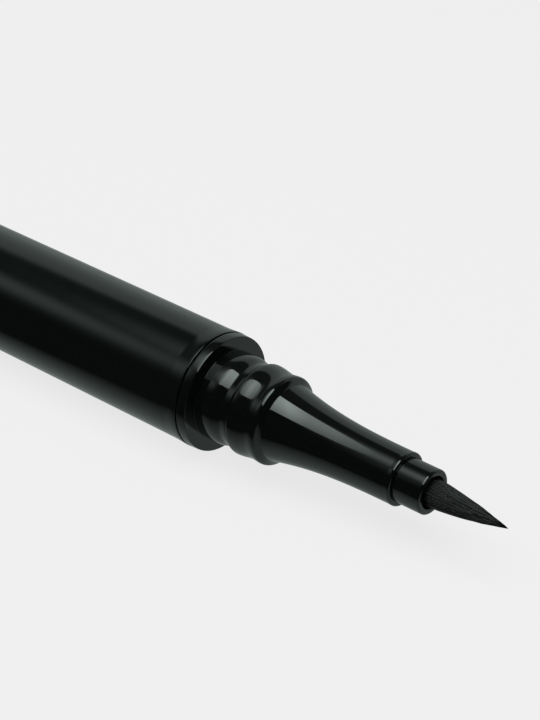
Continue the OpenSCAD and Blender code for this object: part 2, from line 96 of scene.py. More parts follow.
# Roundings of edges, from closed seams to edges that show, and of the lead-in of a piece
SHARP, CRISP, STEP, SEATED = 0.01, 0.02, 0.03, 0.04
THIN, DISC, FLANGE, SOFT = 0.05, 0.06, 0.08, 0.1
LIP, LEAD_IN, PEG_END = 0.12, 0.15, 0.2


class Slot(Enum):
    """The record's material slots."""

    SATIN_BLACK = "satin_black"
    GLOSS_BLACK = "gloss_black"
    NATURAL_POLYPROPYLENE = "natural_polypropylene"
    WHITE_POLYETHYLENE = "white_polyethylene"
    SEAL_RUBBER = "seal_rubber"
    POLISHED_STEEL = "polished_steel"
    SPRING_STEEL = "spring_steel"
    IVORY_ABS = "ivory_abs"
    FELT_ROD = "felt_rod"
    BRUSH_FIBRE = "brush_fibre"
    DARK_LINER = "dark_liner"


class Ends(Enum):
    """How the rows of a surface end: joined into a ring, or drawn in to a point."""

    JOINED = "joined"
    POINTED = "pointed"


@dataclass(frozen=True)
class Span:
    """Where a turned CAD node lies along the pen, and its largest radius."""

    rear: float
    front: float
    radius: float

    @classmethod
    def of(cls, node: str) -> "Span":
        """Read a node's span from the frame.

        Args:
            node: the CAD node's name.

        Returns:
            The span, in millimetres.
        """
        low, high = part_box(node)
        reach = max(-low.y, high.y, -low.z, high.z)
        return cls(*(round(v / MM, 3) for v in (low.x, high.x, reach)))


# Surfaces


def placed(name: str, data: bpy.types.ID) -> Piece:
    """Put a new object into the scene, at the origin.

    Args:
        name: its name.
        data: its mesh, lamp or camera.

    Returns:
        The object.
    """
    thing = bpy.data.objects.new(name, data)
    bpy.context.scene.collection.objects.link(thing)
    return thing


def surface(name: str, rows: np.ndarray, ends: Ends) -> Piece:
    """Make one closed mesh from grids of points.

    Each point is joined to the next row and to the next column, and the columns close round. The
    mesh is turned so that its signed volume, the sum of a . (b x c) over triangles, is positive.

    Args:
        name: the piece's name.
        rows: points in millimetres, in an array of copies, rows, columns and coordinates.
        ends: whether the last row joins the first, or the first and last rows are single points.

    Returns:
        The new object, at the origin.
    """
    ids = np.arange(rows[..., 0].size).reshape(rows.shape[:3])
    if ends is Ends.POINTED:
        ids[:, 0], ids[:, -1] = ids[:, 0, :1], ids[:, -1, :1]
        here, ahead = ids[:, :-1], ids[:, 1:]
    else:
        here, ahead = ids, np.roll(ids, -1, axis=1)
    quads = np.stack([here, ahead, np.roll(ahead, -1, axis=2), np.roll(here, -1, axis=2)], axis=-1)
    used, flat = np.unique(quads.reshape(-1, 4), return_inverse=True)
    points, quads = rows.reshape(-1, 3)[used], flat.reshape(-1, 4)
    a, b, c, d = (points[quads[:, i]] for i in range(4))
    volume = np.einsum("ij,ij->", a, np.cross(b, c)) + np.einsum("ij,ij->", a, np.cross(c, d))
    if volume < 0:
        quads = quads[:, ::-1]
    starts, stops = quads[:, 0] == quads[:, 3], quads[:, 1] == quads[:, 2]
    faces = [*quads[~(starts | stops)].tolist(), *quads[starts][:, :3].tolist(),
             *quads[stops][:, [0, 1, 3]].tolist()]
    mesh = bpy.data.meshes.new(name)
    mesh.from_pydata((points * MM).tolist(), [], faces)
    mesh.polygons.foreach_set("use_smooth", np.ones(len(faces), bool))
    mesh.update()
    return placed(name, mesh)


def mark_points(piece: Piece, name: str, values: np.ndarray) -> None:
    """Give a piece an attribute for its material to read, with one value for each point."""
    attribute = piece.data.attributes.new(name, "FLOAT", "POINT")
    attribute.data.foreach_set("value", values.astype(np.float32))


def lengths(vectors: np.ndarray) -> np.ndarray:
    """Lengths of the rows of an array, none of them zero."""
    return np.maximum(np.linalg.norm(vectors, axis=1), TINY)


def unit(vectors: np.ndarray) -> np.ndarray:
    """The rows of an array, divided by their lengths."""
    return vectors / lengths(vectors)[:, None]


def rounded(corners: np.ndarray) -> np.ndarray:
    """Round the corners of a closed outline with arcs.

    At a corner between unit directions a and b to its neighbours, the arc of radius r touches both
    sides at r / tan(g / 2) from the corner, where g is the angle between a and b. Its centre lies
    on the bisector at r / sin(g / 2), and its points sweep evenly between the two touching points.

    Args:
        corners: rows of station, radius and rounding. A rounding of zero keeps the corner.

    Returns:
        The outline's points, as stations and radii.
    """
    place, size = corners[:, :2], corners[:, 2]
    back = np.roll(place, 1, axis=0) - place
    on = np.roll(place, -1, axis=0) - place
    a, b = unit(back), unit(on)
    half = np.arccos(np.clip(np.einsum("ij,ij->i", a, b), -1, 1)) / 2
    reach = np.minimum(size / np.tan(np.maximum(half, NO_LENGTH)),
                       SIDE_SHARE * np.minimum(lengths(back), lengths(on)))
    size = reach * np.tan(half)
    centre = place + unit(a + b) * (size / np.maximum(np.sin(half), TINY))[:, None]
    start, stop = place + a * reach[:, None] - centre, place + b * reach[:, None] - centre
    share = np.linspace(0, 1, ROUND_POINTS + 1)[None, :, None]
    sweep = (math.pi - 2 * half)[:, None, None]
    swept = np.sin((1 - share) * sweep) * start[:, None] + np.sin(share * sweep) * stop[:, None]
    arcs = centre[:, None] + swept / np.maximum(np.sin(sweep), TINY)
    flat = (size[:, None, None] < NO_LENGTH) | (sweep < NO_TURN)
    points = np.where(flat, place[:, None], arcs).reshape(-1, 2)
    return points[np.linalg.norm(points - np.roll(points, 1, axis=0), axis=1) > NO_LENGTH]


def refined(points: np.ndarray, closed: bool) -> np.ndarray:
    """Cut the long runs of an outline, with a short run at each of their ends.

    Args:
        points: stations and radii in order.
        closed: whether the last point joins the first.

    Returns:
        The same outline with more points on its straight runs.
    """
    line = np.concatenate([points, points[:1]]) if closed else points
    runs = np.linalg.norm(np.diff(line, axis=0), axis=1)
    length = np.concatenate([[0], np.cumsum(runs)])
    wide = runs > 3 * EDGE_RUN
    even = np.linspace(0, length[-1], int(length[-1] / LONG_RUN) + 2)
    clear = np.abs(even[:, None] - length[None, :]).min(axis=1) > EDGE_RUN
    stations = np.unique(np.concatenate([
        length, length[:-1][wide] + EDGE_RUN, length[1:][wide] - EDGE_RUN, even[clear]]))
    fine = np.stack([np.interp(stations, length, line[:, i]) for i in range(2)], axis=1)
    return fine[:-1] if closed else fine


def exposure(points: np.ndarray, closed: bool) -> np.ndarray:
    """Say how exposed each point of an outline is to wear, from 0 on a flat to 1 on a sharp edge.

    It is the change of direction per millimetre at the point, where the outline turns outward,
    divided by EXPOSED_EDGE.

    Args:
        points: stations and radii in order.
        closed: whether the last point joins the first.

    Returns:
        One value for each point.
    """
    back = points - np.roll(points, 1, axis=0)
    ahead = np.roll(points, -1, axis=0)
    on = ahead - points
    turn = np.arctan2(back[:, 0] * on[:, 1] - back[:, 1] * on[:, 0],
                      np.einsum("ij,ij->i", back, on))
    length = (np.linalg.norm(back, axis=1) + np.linalg.norm(on, axis=1)) / 2
    outward = np.sign(np.sum(points[:, 0] * ahead[:, 1] - ahead[:, 0] * points[:, 1]))
    value = np.clip(outward * turn / np.maximum(length, SHORT_RUN) / EXPOSED_EDGE, 0, 1)
    if not closed:
        value[[0, -1]] = 0
    return (np.roll(value, 1) + 2 * value + np.roll(value, -1)) / 4


def turned(name: str, corners: list, facets: int = FACETS) -> Piece:
    """Turn an outline about the pen's axis.

    A point of the outline at station x and radius r goes to (x, r cos v, r sin v) for each angle v.
    An outline that starts and ends on the axis closes there in single points, and any other
    outline closes on itself.

    Args:
        name: the piece's name.
        corners: parts of the outline, each a row of station, radius and rounding or an array of
            such rows.
        facets: how many facets go round.

    Returns:
        The turned piece, with an attribute named exposure.
    """
    rows = np.concatenate([np.atleast_2d(np.asarray(part, float)) for part in corners])
    closed = rows[0, 1] > 0 or rows[-1, 1] > 0
    points = rounded(rows)
    if not closed:
        points = np.roll(points, -int(np.argmin(np.abs(points - rows[0, :2]).sum(axis=1))), axis=0)
    points = refined(points, closed)
    worn = exposure(points, closed)
    angle = np.linspace(0, 2 * math.pi, facets, endpoint=False)
    grid = np.stack([np.repeat(points[:, :1], facets, axis=1), points[:, 1:] * np.cos(angle),
                     points[:, 1:] * np.sin(angle)], axis=-1)
    piece = surface(name, grid[None], Ends.JOINED if closed else Ends.POINTED)
    inner = np.repeat(worn if closed else worn[1:-1], facets)
    mark_points(piece, "exposure",
                inner if closed else np.concatenate([worn[:1], inner, worn[-1:]]))
    return piece


def path(x: np.ndarray, r: np.ndarray) -> np.ndarray:
    """Rows of station, radius and zero rounding."""
    return np.stack([x, r, 0 * x], axis=1)


def wave(t: np.ndarray) -> np.ndarray:
    """Half a cosine from 0 to 1, level at both ends."""
    return (1 - np.cos(math.pi * t)) / 2


def swell(t: np.ndarray) -> np.ndarray:
    """A quarter of a sine from 0 to 1, level at its end."""
    return np.sin(math.pi / 2 * t)


def curve(blend: Callable, x0: float, r0: float, x1: float, r1: float, count: int = CURVE_POINTS,
          power: float = 1.0) -> np.ndarray:
    """A curve whose radius at share t of the way is r0 + (r1 - r0) blend(t^power).

    Args:
        blend: wave or swell.
        x0: station where it starts.
        r0: radius there.
        x1: station where it ends.
        r1: radius there.
        count: number of points.
        power: over 1, it puts more of the change toward the end.

    Returns:
        Rows of station, radius and zero rounding.
    """
    t = np.linspace(0, 1, count)
    return path(x0 + (x1 - x0) * t, r0 + (r1 - r0) * blend(t**power))


# Materials


def linear(code: str) -> tuple:
    """Turn an sRGB hex colour, such as #1b1b1c, into linear red, green, blue and an alpha of 1."""
    # The sRGB curve: straight near black, and a power above
    shares = [int(code[i : i + 2], 16) / 255 for i in (1, 3, 5)]
    return (*(s / 12.92 if s <= 0.04045 else ((s + 0.055) / 1.055) ** 2.4 for s in shares), 1.0)


class Nodes:
    """Writes the node tree of one material or world."""

    def __init__(self, owner: bpy.types.ID) -> None:
        """Start with an empty tree.

        Args:
            owner: the material or world.
        """
        owner.use_nodes = True
        self.tree = owner.node_tree
        self.tree.nodes.clear()

    def add(self, kind: str, inputs: dict, output: int | str = 0,
            **settings: object) -> Socket | None:
        """Add a node.

        Args:
            kind: its type, without the leading ShaderNode.
            inputs: a value or another node's output for an input, by the input's name or number.
            output: the name or number of the output that is wanted.
            settings: values of the node's own attributes.

        Returns:
            The output, or none for a node that has none.
        """
        node = self.tree.nodes.new(f"ShaderNode{kind}")
        for key, value in settings.items():
            setattr(node, key, value)
        for key, value in inputs.items():
            if isinstance(value, Socket):
                self.tree.links.new(value, node.inputs[key])
            else:
                node.inputs[key].default_value = value
        return node.outputs[output] if node.outputs else None

    def math(self, operation: str, *values: float | Socket) -> Socket:
        """Add a Math node on one to three values."""
        return self.add("Math", dict(enumerate(values)), operation=operation)

    def vector(self, operation: str, *values: tuple | Socket) -> Socket:
        """Add a Vector Math node on one to three vectors."""
        output = "Value" if operation == "DOT_PRODUCT" else "Vector"
        return self.add("VectorMath", dict(enumerate(values)), output, operation=operation)

    def axis(self, vector: Socket, name: str) -> Socket:
        """One coordinate of a vector."""
        return self.add("SeparateXYZ", {0: vector}, name)

    def noise(self, place: Socket, width: float, detail: float = 2.0) -> Socket:
        """Noise between 0 and 1, of a width in millimetres and so many finer layers."""
        return self.add("TexNoise", {"Vector": place, "Scale": 1 / width, "Detail": detail})

    def attribute(self, name: str) -> Socket:
        """The value of a piece's attribute."""
        return self.add("Attribute", {}, "Fac", attribute_name=name)

    def bump(self, height: Socket, distance: float) -> Socket:
        """A normal that is bent by a height, over a distance in millimetres."""
        return self.add("Bump", {"Strength": 1.0, "Distance": distance * MM, "Height": height})

    def ranged(self, *values: float | Socket, smooth: bool = False) -> Socket:
        """Carry a value from one range to another, held at its ends.

        Args:
            values: the value, where its range starts and ends, and where the new one does.
            smooth: whether it starts and ends softly.

        Returns:
            The new value.
        """
        names = ("Value", "From Min", "From Max", "To Min", "To Max")
        return self.add("MapRange", dict(zip(names, values)),
                        interpolation_type="SMOOTHSTEP" if smooth else "LINEAR")

    def ramp(self, factor: Socket, stops: list) -> Socket:
        """Add a colour ramp.

        Args:
            factor: the value that it reads.
            stops: places from 0 to 1, each with the colour there.

        Returns:
            The colour.
        """
        colour = self.add("ValToRGB", {"Fac": factor})
        marks = colour.node.color_ramp.elements
        for _ in stops[2:]:
            marks.new(1.0)
        for mark, (place, value) in zip(marks, stops):
            mark.position, mark.color = place, value
        return colour


@dataclass(frozen=True)
class Finish:
    """A Principled material whose main colour drifts to a second one by a pattern."""

    name: str
    colour: str
    second: str
    roughness: float
    ior: float = 1.5

    def pattern(self, nodes: Nodes, place: Socket) -> tuple:
        """Add the finish's own nodes.

        Args:
            nodes: the material's nodes.
            place: the object's coordinates in millimetres.

        Returns:
            The share of the second colour, and more inputs of the shader by name.
        """
        raise NotImplementedError

    def material(self) -> bpy.types.Material:
        """Make the material.

        Returns:
            The material.
        """
        material = bpy.data.materials.new(self.name)
        nodes = Nodes(material)
        place = nodes.add("TexCoord", {}, "Object")
        share, inputs = self.pattern(
            nodes, nodes.add("Mapping", {"Scale": (1 / MM,) * 3, "Vector": place}))
        colour = nodes.ramp(share, [(0, linear(self.colour)), (1, linear(self.second))])
        shader = nodes.add("BsdfPrincipled", {"IOR": self.ior, "Base Color": colour,
                                              "Roughness": self.roughness, **inputs})
        nodes.add("OutputMaterial", {"Surface": shader})
        return material


@dataclass(frozen=True)
class MouldedPlastic(Finish):
    """Injection-moulded plastic: its mould's fine texture, a slow unevenness and polished edges."""

    grain: float = 0.2  # width of the mould's texture
    relief: float = 0.002  # height of that texture
    drift: float = 6.0  # width of the slow unevenness in gloss, from cooling and handling
    drift_depth: float = 0.03  # how much that unevenness changes the roughness
    edge_gloss: float = 0.0  # how much roughness an exposed edge loses
    subsurface: float = 0.0  # how milky it is

    def pattern(self, nodes: Nodes, place: Socket) -> tuple:
        """Add the unevenness, the polished edges and the texture.

        Args:
            nodes: the material's nodes.
            place: the object's coordinates in millimetres.

        Returns:
            The share of the second colour, and more inputs of the shader by name.
        """
        slow = nodes.noise(place, self.drift, detail=3.0)
        rough = nodes.ranged(slow, *NOISE_SPAN, self.roughness - self.drift_depth,
                             self.roughness + self.drift_depth)
        gloss = nodes.math("MULTIPLY", nodes.attribute("exposure"), self.edge_gloss)
        worn = nodes.add("Math", {0: rough, 1: gloss}, operation="SUBTRACT", use_clamp=True)
        return slow, {"Roughness": worn, "Subsurface Weight": self.subsurface,
                      "Subsurface Scale": MM,
                      "Normal": nodes.bump(nodes.noise(place, self.grain), self.relief)}


@dataclass(frozen=True)
class Steel(Finish):
    """Bright steel with fine marks round the wire or ball."""

    mark: float = 0.05  # width of a mark

    def pattern(self, nodes: Nodes, place: Socket) -> tuple:
        """Add the marks, which halve or double the roughness."""
        marks = nodes.noise(place, self.mark, detail=3.0)
        return marks, {"Metallic": 1.0, "Roughness": nodes.ranged(
            marks, 0.0, 1.0, self.roughness / 2, self.roughness * 2)}


@dataclass(frozen=True)
class BondedFibre(Finish):
    """A rod of bonded fibres that run along the pen, soaked with ink."""

    fibre: float = 0.08  # width of a fibre
    stretch: float = 20.0  # how much longer than wide its fibres look

    def pattern(self, nodes: Nodes, place: Socket) -> tuple:
        """Add the fibres, as noise that is stretched along the pen.

        Args:
            nodes: the material's nodes.
            place: the object's coordinates in millimetres.

        Returns:
            The share of the second colour, and more inputs of the shader by name.
        """
        along = nodes.add("Mapping", {"Scale": (1 / self.stretch, 1.0, 1.0), "Vector": place})
        fibres = nodes.noise(along, self.fibre)
        return fibres, {"Normal": nodes.bump(fibres, self.fibre / 2)}


@dataclass(frozen=True)
class BrushFibre(Finish):
    """Fine tapered nylon fibres, stained black by the liquid, each with its own depth of stain."""

    speck: float = 0.1  # size of the dried specks along a fibre
    speck_span: tuple = (0.45, 0.65)  # values of their noise between which they come in

    def pattern(self, nodes: Nodes, place: Socket) -> tuple:
        """Add the specks, which show on the least stained fibres."""
        specks = nodes.ranged(nodes.noise(place, self.speck), *self.speck_span)
        return nodes.math("MULTIPLY", nodes.attribute("stain"), specks), {}


FINISHES = {
    # Satin black ABS from a spark-eroded mould: a soft, broad sheen with no sharp reflections. The
    # texture of a real mould, about 0.03 mm wide, is drawn 0.12 mm wide so that it shows at all.
    Slot.SATIN_BLACK: MouldedPlastic("satin_black_abs", "#060907", "#080b0a", 0.12, 1.52, 0.12,
                                     0.0005, 5.0, drift_depth=0.015, edge_gloss=0.03),
    # Black styrene acrylonitrile from a polished mould: sharp reflections, deep black between them
    Slot.GLOSS_BLACK: MouldedPlastic("polished_black_san", "#050706", "#070a08", 0.05, 1.56, 0.5,
                                     0.0004, 2.5, drift_depth=0.02, edge_gloss=0.02),
    # Unfilled polypropylene: milky and see-through in thin walls, soft gloss
    Slot.NATURAL_POLYPROPYLENE: MouldedPlastic("natural_polypropylene", "#d6d3c8", "#e0ddd3", 0.35,
                                               1.49, 0.3, drift=4.0, subsurface=0.4),
    # White polyethylene: waxy and even, with soft edges to its shadows
    Slot.WHITE_POLYETHYLENE: MouldedPlastic("white_polyethylene", "#d9d7cf", "#e1dfd8", 0.42, 1.51,
                                            0.25, drift=3.0, subsurface=0.3),
    # Nitrile rubber of the seal rings: matt and faintly brown
    Slot.SEAL_RUBBER: MouldedPlastic("nitrile_rubber", "#1d1a18", "#262220", 0.7, 1.52, 0.1, 0.003,
                                     1.5, drift_depth=0.06),
    Slot.POLISHED_STEEL: Steel("polished_bearing_steel", "#c9cacc", "#8c8e90", 0.08),
    Slot.SPRING_STEEL: Steel("drawn_spring_wire", "#b4b6b9", "#8a8c90", 0.2, mark=0.04),
    # Ivory ABS: opaque and faintly yellow
    Slot.IVORY_ABS: MouldedPlastic("ivory_abs", "#cbc6b8", "#d3cec1", 0.38, 1.54, drift=3.0),
    Slot.FELT_ROD: BondedFibre("ink_soaked_fibre_rod", "#2c2d2f", "#0c0c0d", 0.75, 1.53),
    # The film of water-based liquid on the fibres bends light less than nylon does
    Slot.BRUSH_FIBRE: BrushFibre("stained_nylon_fibre", "#0a0b0b", "#262828", 0.4, 1.38),
    # Dark grey ABS of the cap's lining, duller than the outside because it comes from a turned core
    Slot.DARK_LINER: MouldedPlastic("dark_grey_abs", "#1b1c1d", "#222325", 0.36, 1.54, 0.15, 0.0015,
                                    3.0),
}


# Sub-assemblies


@dataclass(frozen=True)
class Assembly:
    """What the sub-assemblies share: clearances, walls, end crowns and how they are dressed."""

    seat: float = 0.03  # clearance between pieces seated in each other
    seam: float = 0.14  # width of an open seam between outer pieces
    tube_wall: float = 0.6  # wall of the barrel's tube and of the cap's
    edge: float = SOFT  # rounding of their edges and of the collar's rear edge
    crown_disc: float = 1.6  # thickness of the disc that closes a tube's far end
    crown_round: float = 0.45  # rounding of that disc
    crown_wall: float = 0.9
    dimple_radius: float = 1.1  # radius of the shallow ring that the mould's gate leaves on it
    dimple_depth: float = 0.08

    # The new pieces, each with the method that builds it, its slot, its body and its CAD node, and
    # the CAD nodes that are shown as they are, each with its slot
    pieces: ClassVar[tuple] = ()
    nodes: ClassVar[dict] = {}

    def dress(self, materials: dict) -> list:
        """Build the new pieces and give every piece its finish, its body and its CAD node.

        Args:
            materials: the material of each slot.

        Returns:
            The new pieces.
        """
        made = []
        for build, slot, body, node in self.pieces:
            piece = build(self)
            piece.data.materials.append(materials[slot])
            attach(piece, body)
            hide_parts(node)
            LOG.info("piece %s on %s for %s, %d faces", piece.name, body, node,
                     len(piece.data.polygons))
            made.append(piece)
        for node, slot in self.nodes.items():
            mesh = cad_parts[node].data
            mesh.materials.clear()
            mesh.materials.append(materials[slot])
            LOG.info("CAD node %s in %s", node, slot.value)
        return made


@dataclass(frozen=True)
class Barrel(Assembly):
    """The outer tube and its tail crown, and what lies in them."""

    rim_swell: float = 0.08  # how far the rim at the mouth swells
    rim_length: float = 1.6
    rim_power: float = 1.6  # the power by which it swells toward the mouth
    rim_round: float = THIN

    nodes: ClassVar[dict] = {
        "ink_tank": Slot.NATURAL_POLYPROPYLENE,
        "tank_plug": Slot.WHITE_POLYETHYLENE,
        "tail_seal_ring": Slot.SEAL_RUBBER,
        "mixing_ball": Slot.POLISHED_STEEL,
    }

    def build_sleeve(self) -> Piece:
        """Make the satin sleeve, whose mouth swells by a quarter sine of t^rim_power.

        Returns:
            The sleeve.
        """
        span, radius = Span.of("barrel_sleeve"), Span.of("tail_crown").radius
        bore, rim_r = radius - self.tube_wall, radius + self.rim_swell
        return turned("barrel_tube", [
            [span.rear, bore, self.edge / 2], [span.rear, radius, self.edge],
            curve(swell, span.front - self.rim_length, radius, span.front - 2 * self.rim_round,
                  rim_r, power=self.rim_power),
            [span.front, rim_r, self.rim_round], [span.front, bore, self.edge / 2],
        ])

    def build_crown(self) -> Piece:
        """Make the tail crown: a disc with a round edge, a shallow ring on its face and a spigot.

        Returns:
            The crown.
        """
        span, disc_x = Span.of("tail_crown"), self.crown_disc
        spigot = span.radius - self.tube_wall - self.seat
        return turned("tail_crown_plug", [
            [span.rear + self.dimple_depth, 0, 0],
            [span.rear + self.dimple_depth, self.dimple_radius, THIN],
            [span.rear, self.dimple_radius + self.dimple_depth, THIN],
            [span.rear, span.radius, self.crown_round],
            [disc_x, span.radius, DISC], [disc_x, spigot, SEATED],
            [span.front, spigot, LEAD_IN], [span.front, spigot - self.crown_wall, SOFT],
            [disc_x, spigot - self.crown_wall, PEG_END], [disc_x, 0, 0],
        ])

    pieces: ClassVar[tuple] = (
        (build_sleeve, Slot.SATIN_BLACK, "pen", "barrel_sleeve"),
        (build_crown, Slot.SATIN_BLACK, "pen", "tail_crown"),
    )


@dataclass(frozen=True)
class Neck(Assembly):
    """The glossy collar, the root and the waist in front of it, in one moulding."""

    collar_width: float = 1.07
    collar_crown: float = 0.055  # how far the collar's radius falls toward its front edge
    collar_round: float = SOFT  # rounding of that edge
    crown_span: tuple = (0.15, 0.85)  # shares of the collar's width, clear of its edges' roundings
    land: float = 1.28  # how far the root's radius lies inside the barrel's
    land_lean: float = 0.07  # how far the collar's front face leans back to its outer edge
    root_length: float = 2.81
    root_drop: float = 0.32  # how far the radius drops along it
    root_flat_share: float = 0.33  # share of the root that is straight, before it falls
    root_power: float = 2.0  # the power that makes it fall more steeply toward the waist
    waist_rise: float = 0.04  # how far the waist rises to its front end
    neck_wall: float = 0.8  # wall between the waist and the bore
    sleeve_length: float = 6.0
    tank_wall: float = 0.7
    seal: float = 0.6  # section of the seal ring

    nodes: ClassVar[dict] = {
        "neck_seal_ring": Slot.SEAL_RUBBER,
        "collector": Slot.IVORY_ABS,
        "feed_core": Slot.FELT_ROD,
        "feed_pipe": Slot.IVORY_ABS,
    }

    @property
    def collar_front(self) -> float:
        """Station of the collar's front face, on which the cap lands."""
        return Span.of("barrel_sleeve").front + self.seam + self.collar_width

    def build_neck(self) -> Piece:
        """Make the neck, from its spigot in the tank to the waist's front end.

        The collar's radius falls by collar_crown t^2 at share t of its width. The root is straight
        and then falls to the waist by half a cosine.

        Returns:
            The neck.
        """
        span = Span.of("neck_coupler")
        mouth, barrel_r = Span.of("barrel_sleeve").front, Span.of("tail_crown").radius
        collar_x0, collar_x1 = mouth + self.seam, self.collar_front
        root_r = barrel_r - self.land
        waist_r = root_r - self.root_drop
        bore = waist_r - self.neck_wall
        sleeve_x, sleeve_r = mouth - self.sleeve_length, barrel_r - self.tube_wall - self.seat
        spigot = sleeve_r - self.tank_wall - self.seat
        ring = Span.of("neck_seal_ring")
        groove_x0, groove_x1 = ring.rear - self.seat, ring.front + self.seat
        groove_r = spigot - self.seal
        t = np.linspace(*self.crown_span, num=12)
        return turned("collar_and_root", [
            [span.rear, bore, THIN], [span.rear, spigot, LEAD_IN],
            [groove_x0, spigot, STEP], [groove_x0, groove_r, STEP],
            [groove_x1, groove_r, STEP], [groove_x1, spigot, STEP],
            [sleeve_x, spigot, SEATED], [sleeve_x, sleeve_r, SOFT],
            [collar_x0, sleeve_r, STEP], [collar_x0, span.radius, self.edge],
            path(collar_x0 + self.collar_width * t, span.radius - self.collar_crown * t**2),
            [collar_x1 - self.land_lean, span.radius - self.collar_crown, self.collar_round],
            [collar_x1, root_r, CRISP],
            curve(wave, collar_x1 + self.root_length * self.root_flat_share, root_r,
                  collar_x1 + self.root_length, waist_r, power=self.root_power),
            [span.front, waist_r + self.waist_rise, STEP], [span.front, bore, THIN],
        ])

    pieces: ClassVar[tuple] = ((build_neck, Slot.GLOSS_BLACK, "pen", "neck_coupler"),)


@dataclass(frozen=True)
class Nozzle(Assembly):
    """The nozzle with its snap bead, ring and hollow cone, and the narrow holder in its front end.

    Heights on the bead and the ring are shares of the bead's height over the waist.
    """

    bead_length: float = 2.31
    bead_height: float = 0.39
    bead_edge_share: float = 0.72  # height of the bead's steep back edge
    bead_edge_at_share: float = 0.05  # place of that edge's top along the bead
    crest_at_share: float = 0.2  # place of the bead's crest along it
    saddle_share: float = 0.45
    ring_width: float = 1.23  # width of the ring, from the saddle to the fillet
    ring_share: float = 0.64
    nose_length: float = 0.36
    nose_drop: float = 0.17  # how far it falls
    nose_power: float = 3.0  # the power by which it falls
    ring_step: float = 0.63  # how far the cone starts inside the ring's radius
    fillet_length: float = 0.38
    fillet_power: float = 1.3  # how hollow the fillet is
    cone_power: float = 2.8  # how hollow the cone is
    shoulder: float = 0.41  # width of the front shoulder round the holder
    flare: float = 0.03  # how far the shoulder's lip flares
    flare_length: float = 0.6
    lip_round: float = 0.22  # rounding of the shoulder and of the holder's lip
    spigot_wall: float = 0.55  # wall of the spigot in the neck
    holder_wall: float = 0.57  # wall of the holder at its lip
    holder_step: float = 0.04  # how far the pocket lies inside the holder's radius
    throat_step: float = 0.1  # how far the throat lies inside the pocket
    throat_length: float = 4.2
    mouth_length: float = 4.0  # length of the wide bore at the holder's mouth
    mouth_round: float = 0.14
    brush_play: float = 0.08  # play round the brush's root
    holder_facets: int = 128

    nodes: ClassVar[dict] = {"brush_retainer": Slot.IVORY_ABS}

    @property
    def bead_rear(self) -> float:
        """Station of the snap bead's back edge, which seats on the neck."""
        return Span.of("neck_coupler").front + self.seam / 2

    @property
    def ring_front(self) -> float:
        """Station where the ring's nose meets the fillet."""
        return self.bead_rear + self.bead_length + self.ring_width

    @property
    def end_radius(self) -> float:
        """Radius of the cone's front end, without its flare."""
        return Span.of("brush_holder").radius + self.shoulder

    def level(self, share: float) -> float:
        """Radius at a share of the bead's height over the waist."""
        return Span.of("nozzle_cone").radius - self.bead_height * (1 - share)

    def cone(self, x: np.ndarray) -> np.ndarray:
        """Radius of the cone and its fillet at stations x.

        At share t of the cone's length it is end + (start - end) (1 - t)^cone_power. The same line
        is carried on behind the cone, and there rise (1 - u)^fillet_power is added at share u of
        the fillet, where rise is what the line lacks to the end of the ring's nose.

        Args:
            x: the stations.

        Returns:
            The radii.
        """
        cone_x = self.ring_front + self.fillet_length
        cone_length = Span.of("nozzle_cone").front - cone_x
        start = self.level(self.ring_share) - self.ring_step - self.end_radius
        line = self.end_radius + start * (1 - (x - cone_x) / cone_length) ** self.cone_power
        at_ring = self.end_radius + start * (
            1 + self.fillet_length / cone_length) ** self.cone_power
        rise = self.level(self.ring_share) - self.nose_drop - at_ring
        return line + rise * np.clip((cone_x - x) / self.fillet_length, 0, 1) ** self.fillet_power

    def bead(self) -> list:
        """Outline of the bead and the ring, from the seat on the neck to the end of the nose.

        A steep edge and a quarter sine lead up to the bead's crest, and half cosines lead down to
        the saddle and up to the ring. The nose falls by nose_drop t^nose_power at share t of it.

        Returns:
            Parts of the outline, as rows of station, radius and rounding.
        """
        rear, saddle_x = self.bead_rear, self.bead_rear + self.bead_length
        crest_x = rear + self.bead_length * self.crest_at_share
        nose_x = self.ring_front - self.nose_length
        saddle_r, ring_r = self.level(self.saddle_share), self.level(self.ring_share)
        rise = curve(swell, rear + self.bead_length * self.bead_edge_at_share,
                     self.level(self.bead_edge_share), crest_x, self.level(1), count=14)
        rise[0, 2] = STEP
        t = np.linspace(0, 1, num=14)[1:]
        return [
            [rear, self.level(0) + Neck().waist_rise, CRISP],
            rise,
            curve(wave, crest_x, self.level(1), saddle_x, saddle_r, count=32)[1:],
            curve(wave, saddle_x, saddle_r, nose_x, ring_r)[1:],
            path(nose_x + self.nose_length * t, ring_r - self.nose_drop * t**self.nose_power),
        ]

    def build_cone(self) -> Piece:
        """Make the nozzle: spigot, bead, ring, fillet, hollow cone and a small flared shoulder.

        Returns:
            The nozzle.
        """
        span, holder = Span.of("nozzle_cone"), Span.of("brush_holder")
        cone_x = self.ring_front + self.fillet_length
        pocket_r, pocket_x = holder.radius - self.holder_step, holder.rear - self.seat
        throat_r = pocket_r - self.throat_step
        spigot_r = Span.of("collector").radius
        stem_r = spigot_r - self.spigot_wall
        x = np.concatenate([np.linspace(self.ring_front, cone_x, num=12)[1:],
                            np.linspace(cone_x, span.front - self.flare_length, num=60)[1:]])
        return turned("nozzle_horn", [
            [span.rear, stem_r, THIN], [span.rear, spigot_r, SOFT],
            [self.bead_rear, spigot_r, SEATED],
            *self.bead(),
            path(x, self.cone(x)),
            [span.front, self.end_radius + self.flare, self.lip_round],
            [span.front, pocket_r, SEATED],
            [pocket_x, pocket_r, SEATED], [pocket_x, throat_r, STEP],
            [pocket_x - self.throat_length, throat_r, SOFT],
            [cone_x, stem_r, SOFT],
        ])

